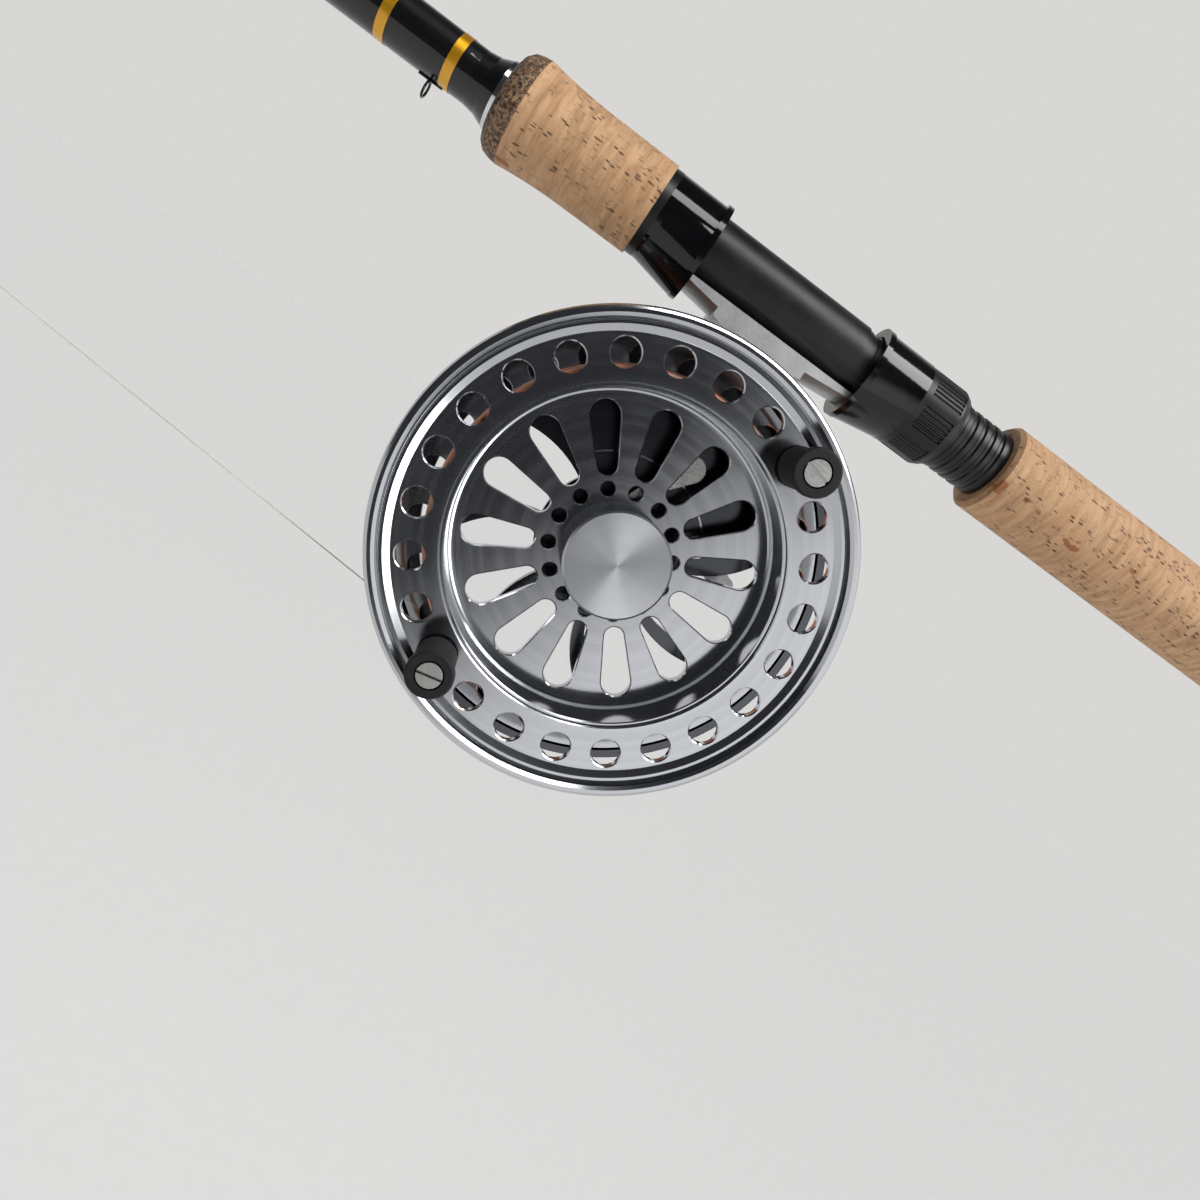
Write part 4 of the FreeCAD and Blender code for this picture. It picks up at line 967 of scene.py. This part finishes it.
@dataclass
class Grips(SubAssembly):
    """The foregrip and the rear grip, cork with burl ends, and the butt cap."""

    looks: ClassVar[dict[Look, tuple[str, ...]]] = {
        Look.CORK: ("foregrip_cork", "rear_grip_cork"),
        Look.BURL: ("foregrip_burl", "rear_grip_burl"),
        Look.RUBBER: ("butt_cap",)}


@dataclass
class ReelSeat(SubAssembly):
    """The screw seat: its barrel, both hoods and the lock nut."""

    looks: ClassVar[dict[Look, tuple[str, ...]]] = {
        Look.HOOD: ("fixed_hood", "movable_hood"),
        Look.SEAT: ("foregrip_trim_ring", "seat_tube", "lock_nut")}


@dataclass
class Guides(SubAssembly):
    """The rings along the rod, their frames and whippings, and the tip."""

    looks: ClassVar[dict[Look, tuple[str, ...]]] = {
        Look.WIRE: ("guide_frame_1", "guide_frame_2", "guide_frame_3", "guide_frame_4",
                    "guide_frames_small", "tip_top"),
        Look.CERAMIC: ("guide_rings", "tip_ring"),
        Look.WHIPPING: ("guide_whippings",)}


@dataclass
class Drum(SubAssembly):
    """The drum with its cap and bearings, and the line wound on it turn beside turn."""

    arbor_r: float = 0.0414
    pack_r: float = 0.0451
    pack_front: float = 0.00325
    pack_rear: float = 0.01815
    strand: float = 0.0003
    crown: float = 0.0007
    valley_share: float = 0.4
    uneven_share: float = 0.25
    uneven_rates: tuple[float, float] = (2.3, 0.7)
    crisp_degrees: float = 85.0
    steps: int = 144
    looks: ClassVar[dict[Look, tuple[str, ...]]] = {
        Look.DRUM: ("drum_face", "drum_arbor", "drum_web", "spool_rear_flange"),
        Look.CAP: ("spindle_cap",),
        Look.STEEL: ("flange_screws", "bearing_front", "bearing_rear", "bearing_spacer", "ratchet_wheel")}

    def turn_radius(self, share: float, index: int) -> float:
        """Radius of one turn's crest: crowned, and never quite even.

        Args:
            share: 0 at the front of the pack, 1 at the rear.
            index: which turn it is.

        Returns:
            The radius in metres.
        """
        crowned = self.pack_r - self.crown * (2 * share - 1) ** 4
        quick, slow = self.uneven_rates
        sag = 1 + math.sin(quick * index) * math.cos(slow * index)
        return crowned - self.strand * self.uneven_share * sag

    def build(self) -> None:
        """Wind the line on the arbor."""
        count = round((self.pack_rear - self.pack_front) / self.strand)
        outline = [(self.arbor_r, self.pack_front)]
        for i in range(count):
            y = self.pack_front + i * self.strand
            crest = self.turn_radius(i / (count - 1), i)
            outline.append((crest - self.strand * self.valley_share, y))
            outline.append((crest, y + self.strand / 2))
        outline.append((outline[-2][0], self.pack_rear))
        outline.append((self.arbor_r, self.pack_rear))
        mesh = turned_piece("line_turns", outline, REEL_CENTRE, self.steps, closed=True)
        turns = finish_mesh(mesh, "line_turns", self.palette.of(Look.PACK), self.crisp_degrees)
        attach(turns, "spool")
        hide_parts("line_pack")


@dataclass
class Backplate(SubAssembly):
    """The open plate behind the drum, the foot above it, and the bright edge turned on its land."""

    land_r: float = 0.0245
    edge_width: float = 0.0005
    edge_proud: float = 0.00012
    land_depth: float = 0.0219
    start_degrees: float = 42.0
    span_degrees: float = 104.0
    steps: int = 60
    looks: ClassVar[dict[Look, tuple[str, ...]]] = {
        Look.PLATE: ("backplate",),
        Look.FOOT: ("reel_foot",),
        Look.STEEL: ("foot_screws", "centre_pin", "pin_nuts")}

    def build(self) -> None:
        """Turn the bright line round the land, over the part of the plate that has no windows."""
        face = self.land_depth
        inner = self.land_r - self.edge_width
        outline = [(inner, face), (inner, face - self.edge_proud),
                   (self.land_r, face - self.edge_proud), (self.land_r, face)]
        mesh = turned_piece("land_edge", outline, REEL_CENTRE, self.steps, self.span_degrees,
                            self.start_degrees, closed=True)
        edge = finish_mesh(mesh, "land_edge", self.palette.of(Look.CHECK_RING))
        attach(edge, "rod")


@dataclass
class Check(SubAssembly):
    """The click: lever, pawl, spring and screw, with a dished face on the lever's cam."""

    cam_centre: tuple[float, float] = (0.0187, 0.0126)
    cam_r: float = 0.00285
    dish_r: float = 0.0009
    dish_slope: tuple[float, float] = (0.5, 0.2)
    cam_depth: float = 0.02115
    cam_t: float = 0.00018
    steps: int = 48
    looks: ClassVar[dict[Look, tuple[str, ...]]] = {
        Look.CHECK_RING: ("check_lever",),
        Look.STEEL: ("pawl", "pawl_screw", "pawl_spring")}

    def build(self) -> None:
        """Turn the dished face of the cam."""
        face = self.cam_depth
        out, up = self.dish_slope
        outline = [(0.0, face), (self.dish_r * out, face - self.cam_t * up), (self.dish_r, face - self.cam_t),
                   (self.cam_r - self.cam_t, face - self.cam_t), (self.cam_r, face)]
        place = REEL_CENTRE + Vector((self.cam_centre[0], 0, self.cam_centre[1]))
        mesh = turned_piece("cam_face", outline, place, self.steps)
        cam = finish_mesh(mesh, "cam_face", self.palette.of(Look.CHECK_RING))
        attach(cam, "check_lever")


@dataclass
class Handles(SubAssembly):
    """The two knobs and the screws that they turn on."""

    looks: ClassVar[dict[Look, tuple[str, ...]]] = {
        Look.RUBBER: ("handle_knob_1", "handle_knob_2"),
        Look.STEEL: ("handle_spindles",)}


@dataclass
class FishingLine(SubAssembly):
    """The line from the drum, over every ring, to the swivel."""

    diameter: float = 0.0003
    near: float = 0.002
    near_share: float = 0.3
    route: tuple[tuple[float, float, float], ...] = LINE_ROUTE
    looks: ClassVar[dict[Look, tuple[str, ...]]] = {Look.BRASS: ("line_swivel",)}

    def beside(self, here: Vector, there: Vector) -> Vector:
        """A control point close to a corner, so that the curve turns tightly there.

        Args:
            here: the corner.
            there: the corner before or after it.

        Returns:
            The point, on the way from here to there.
        """
        way = there - here
        return here + way.normalized() * min(self.near, way.length * self.near_share)

    def points(self) -> list[Vector]:
        """The control points, from the corners of the route.

        Returns:
            Points in metres, with one close to each side of every ring.
        """
        corners = [Vector(p) for p in self.route]
        made = [corners[0]]
        for before, here, after in zip(corners[:-2], corners[1:-1], corners[2:]):
            made += [self.beside(here, before), here, self.beside(here, after)]
        made.append(corners[-1])
        return made

    def build(self) -> None:
        data = bpy.data.curves.new("free_line", "CURVE")
        data.dimensions = "3D"
        spline = data.splines.new("NURBS")
        made = self.points()
        spline.points.add(len(made) - 1)
        for point, place in zip(spline.points, made):
            point.co = (*place, 1.0)
        spline.order_u = 3
        spline.use_endpoint_u = True
        spline.resolution_u = 4
        data.bevel_depth = self.diameter / 2
        data.bevel_resolution = 2
        data.use_fill_caps = True
        data.materials.append(self.palette.of(Look.LINE))
        line = bpy.data.objects.new("free_line", data)
        bpy.context.scene.collection.objects.link(line)
        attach(line, "rod")
        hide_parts("fishing_line")


# ---------------------------------------------------------------- stage
@dataclass(frozen=True)
class Lamp:
    """One square soft lamp that points at the reel.

    Attributes:
        name: its name.
        offset: where it hangs, from the reel's centre.
        size: its side in metres.
        watts: its power.
    """

    name: str
    offset: Vector
    size: float
    watts: float


@dataclass
class Studio:
    """Pale floor, soft lamps and the camera."""

    eye: Vector = Vector((-0.2174, -0.2269, -0.0495)).freeze()
    right: Vector = Vector((0.8211, -0.0692, 0.5666)).freeze()
    up: Vector = Vector((-0.5422, 0.2159, 0.8120)).freeze()
    lens_mm: float = 27.9
    sensor_mm: float = 36.0
    clip: tuple[float, float] = (0.01, 60.0)
    floor_drop: float = 1.2
    floor_half: float = 12.0
    floor_front: float = -3.0
    pale_way: Vector = Vector((0.0, 1.0, 0.0)).freeze()
    pale_edge: tuple[float, float] = (-0.1, 0.35)
    glow_way: Vector = Vector((0.882, 0.0, -0.471)).freeze()
    glow_edge: tuple[float, float] = (0.1, 0.32)
    overhead_edge: tuple[float, float] = (0.9, 0.55)
    pale_colour: str = "d8d7d5"
    glow_colour: str = "ffffff"
    dim_colour: str = "36373a"
    paper: tuple[str, str] = ("e0e0df", "e5e5e4")
    paper_per_m: float = 30.0
    sun_way: Vector = Vector((0.45, -0.45, 0.9)).freeze()
    sun_strength: float = 2.3
    sun_spread: float = 35.0
    lamps: tuple[Lamp, ...] = (
        Lamp("side", Vector((0.8, -0.75, 0.1)), size=0.6, watts=4.5),
        Lamp("top", Vector((-0.1, -0.5, 0.9)), size=0.35, watts=2.5))

    def camera(self) -> None:
        """Place the camera close in front of the reel."""
        data = bpy.data.cameras.new("camera")
        data.lens = self.lens_mm
        data.sensor_width = self.sensor_mm
        data.clip_start, data.clip_end = self.clip
        camera = bpy.data.objects.new("camera", data)
        right = self.right.normalized()
        back = right.cross(self.up).normalized()
        up = back.cross(right)
        turn = Matrix((right, up, back)).transposed().to_4x4()
        camera.matrix_world = Matrix.Translation(self.eye) @ turn
        bpy.context.scene.collection.objects.link(camera)
        bpy.context.scene.camera = camera

    def floor(self) -> None:
        """Lay a wide pale floor under the reel."""
        mesh = bmesh.new()
        bmesh.ops.create_grid(mesh, x_segments=1, y_segments=1, size=self.floor_half)
        low = CAD_BOX[0].z - self.floor_drop
        bmesh.ops.translate(mesh, verts=mesh.verts, vec=Vector((0, self.floor_half + self.floor_front, low)))
        data = bpy.data.meshes.new("floor")
        mesh.to_mesh(data)
        mesh.free()
        s = Surface("matt_paper")
        grain = s.noise(s.even(self.paper_per_m))
        s.feed(Base_Color=mix(s.tree, grain, linear(self.paper[0]), linear(self.paper[1])))
        s.fix(Roughness=0.85)
        data.materials.append(s.material)
        floor = bpy.data.objects.new("floor", data)
        bpy.context.scene.collection.objects.link(floor)

    def hang(self, lamp: Lamp) -> None:
        """Hang one lamp, pointing at the reel.

        Args:
            lamp: what it is and where it goes.
        """
        data = bpy.data.lights.new(lamp.name, "AREA")
        data.shape = "SQUARE"
        data.size = lamp.size
        data.energy = lamp.watts
        hung = bpy.data.objects.new(lamp.name, data)
        turn = (-lamp.offset).to_track_quat("-Z", "Y").to_matrix().to_4x4()
        hung.matrix_world = Matrix.Translation(REEL_CENTRE + lamp.offset) @ turn
        bpy.context.scene.collection.objects.link(hung)

    def sun(self) -> None:
        """Light the whole stage evenly, with soft shadows."""
        data = bpy.data.lights.new("sun", "SUN")
        data.energy = self.sun_strength
        data.angle = math.radians(self.sun_spread)
        sun = bpy.data.objects.new("sun", data)
        sun.matrix_world = self.sun_way.to_track_quat("Z", "Y").to_matrix().to_4x4()
        bpy.context.scene.collection.objects.link(sun)

    def sky(self) -> None:
        """Surround everything with a soft tent: pale behind the object, dim on the camera's side."""
        world = bpy.data.worlds.new("studio")
        world.use_nodes = True
        tree = world.node_tree
        tree.nodes.clear()
        way = add(tree, "ShaderNodeTexCoord").outputs["Generated"]
        faded = []
        for axis, edge in ((self.pale_way, self.pale_edge), (self.glow_way, self.glow_edge),
                           (Vector((0, 0, 1)), self.overhead_edge)):
            dot = add(tree, "ShaderNodeVectorMath", {0: way}, operation="DOT_PRODUCT")
            dot.inputs[1].default_value = axis.normalized()
            soft = add(tree, "ShaderNodeMapRange", {"Value": dot.outputs["Value"]},
                       interpolation_type="SMOOTHSTEP")
            soft.inputs["From Min"].default_value, soft.inputs["From Max"].default_value = edge
            faded.append(soft.outputs[0])
        behind, glowing, not_overhead = faded
        tone = mix(tree, glowing, linear(self.dim_colour), linear(self.glow_colour))
        pale = math_node(tree, "MULTIPLY", behind, not_overhead)
        tone = mix(tree, pale, tone, linear(self.pale_colour))
        glow = add(tree, "ShaderNodeBackground", {"Color": tone}, Strength=1.0)
        add(tree, "ShaderNodeOutputWorld", {"Surface": glow.outputs[0]})
        bpy.context.scene.world = world
        bpy.context.scene.view_settings.view_transform = "Standard"

    def build(self) -> None:
        """Set the whole stage."""
        self.camera()
        self.floor()
        self.sky()
        self.sun()
        for lamp in self.lamps:
            self.hang(lamp)


def main() -> None:
    """Build and dress every sub-assembly, then set the stage."""
    logging.basicConfig(level=logging.INFO, format="%(name)s: %(message)s")
    palette = Palette()
    for kind in (Blank, Grips, ReelSeat, Guides, Drum, Backplate, Check, Handles, FishingLine):
        part = kind(palette)
        part.dress()
        part.build()
    Studio().build()


if __name__ == "__main__":
    main()
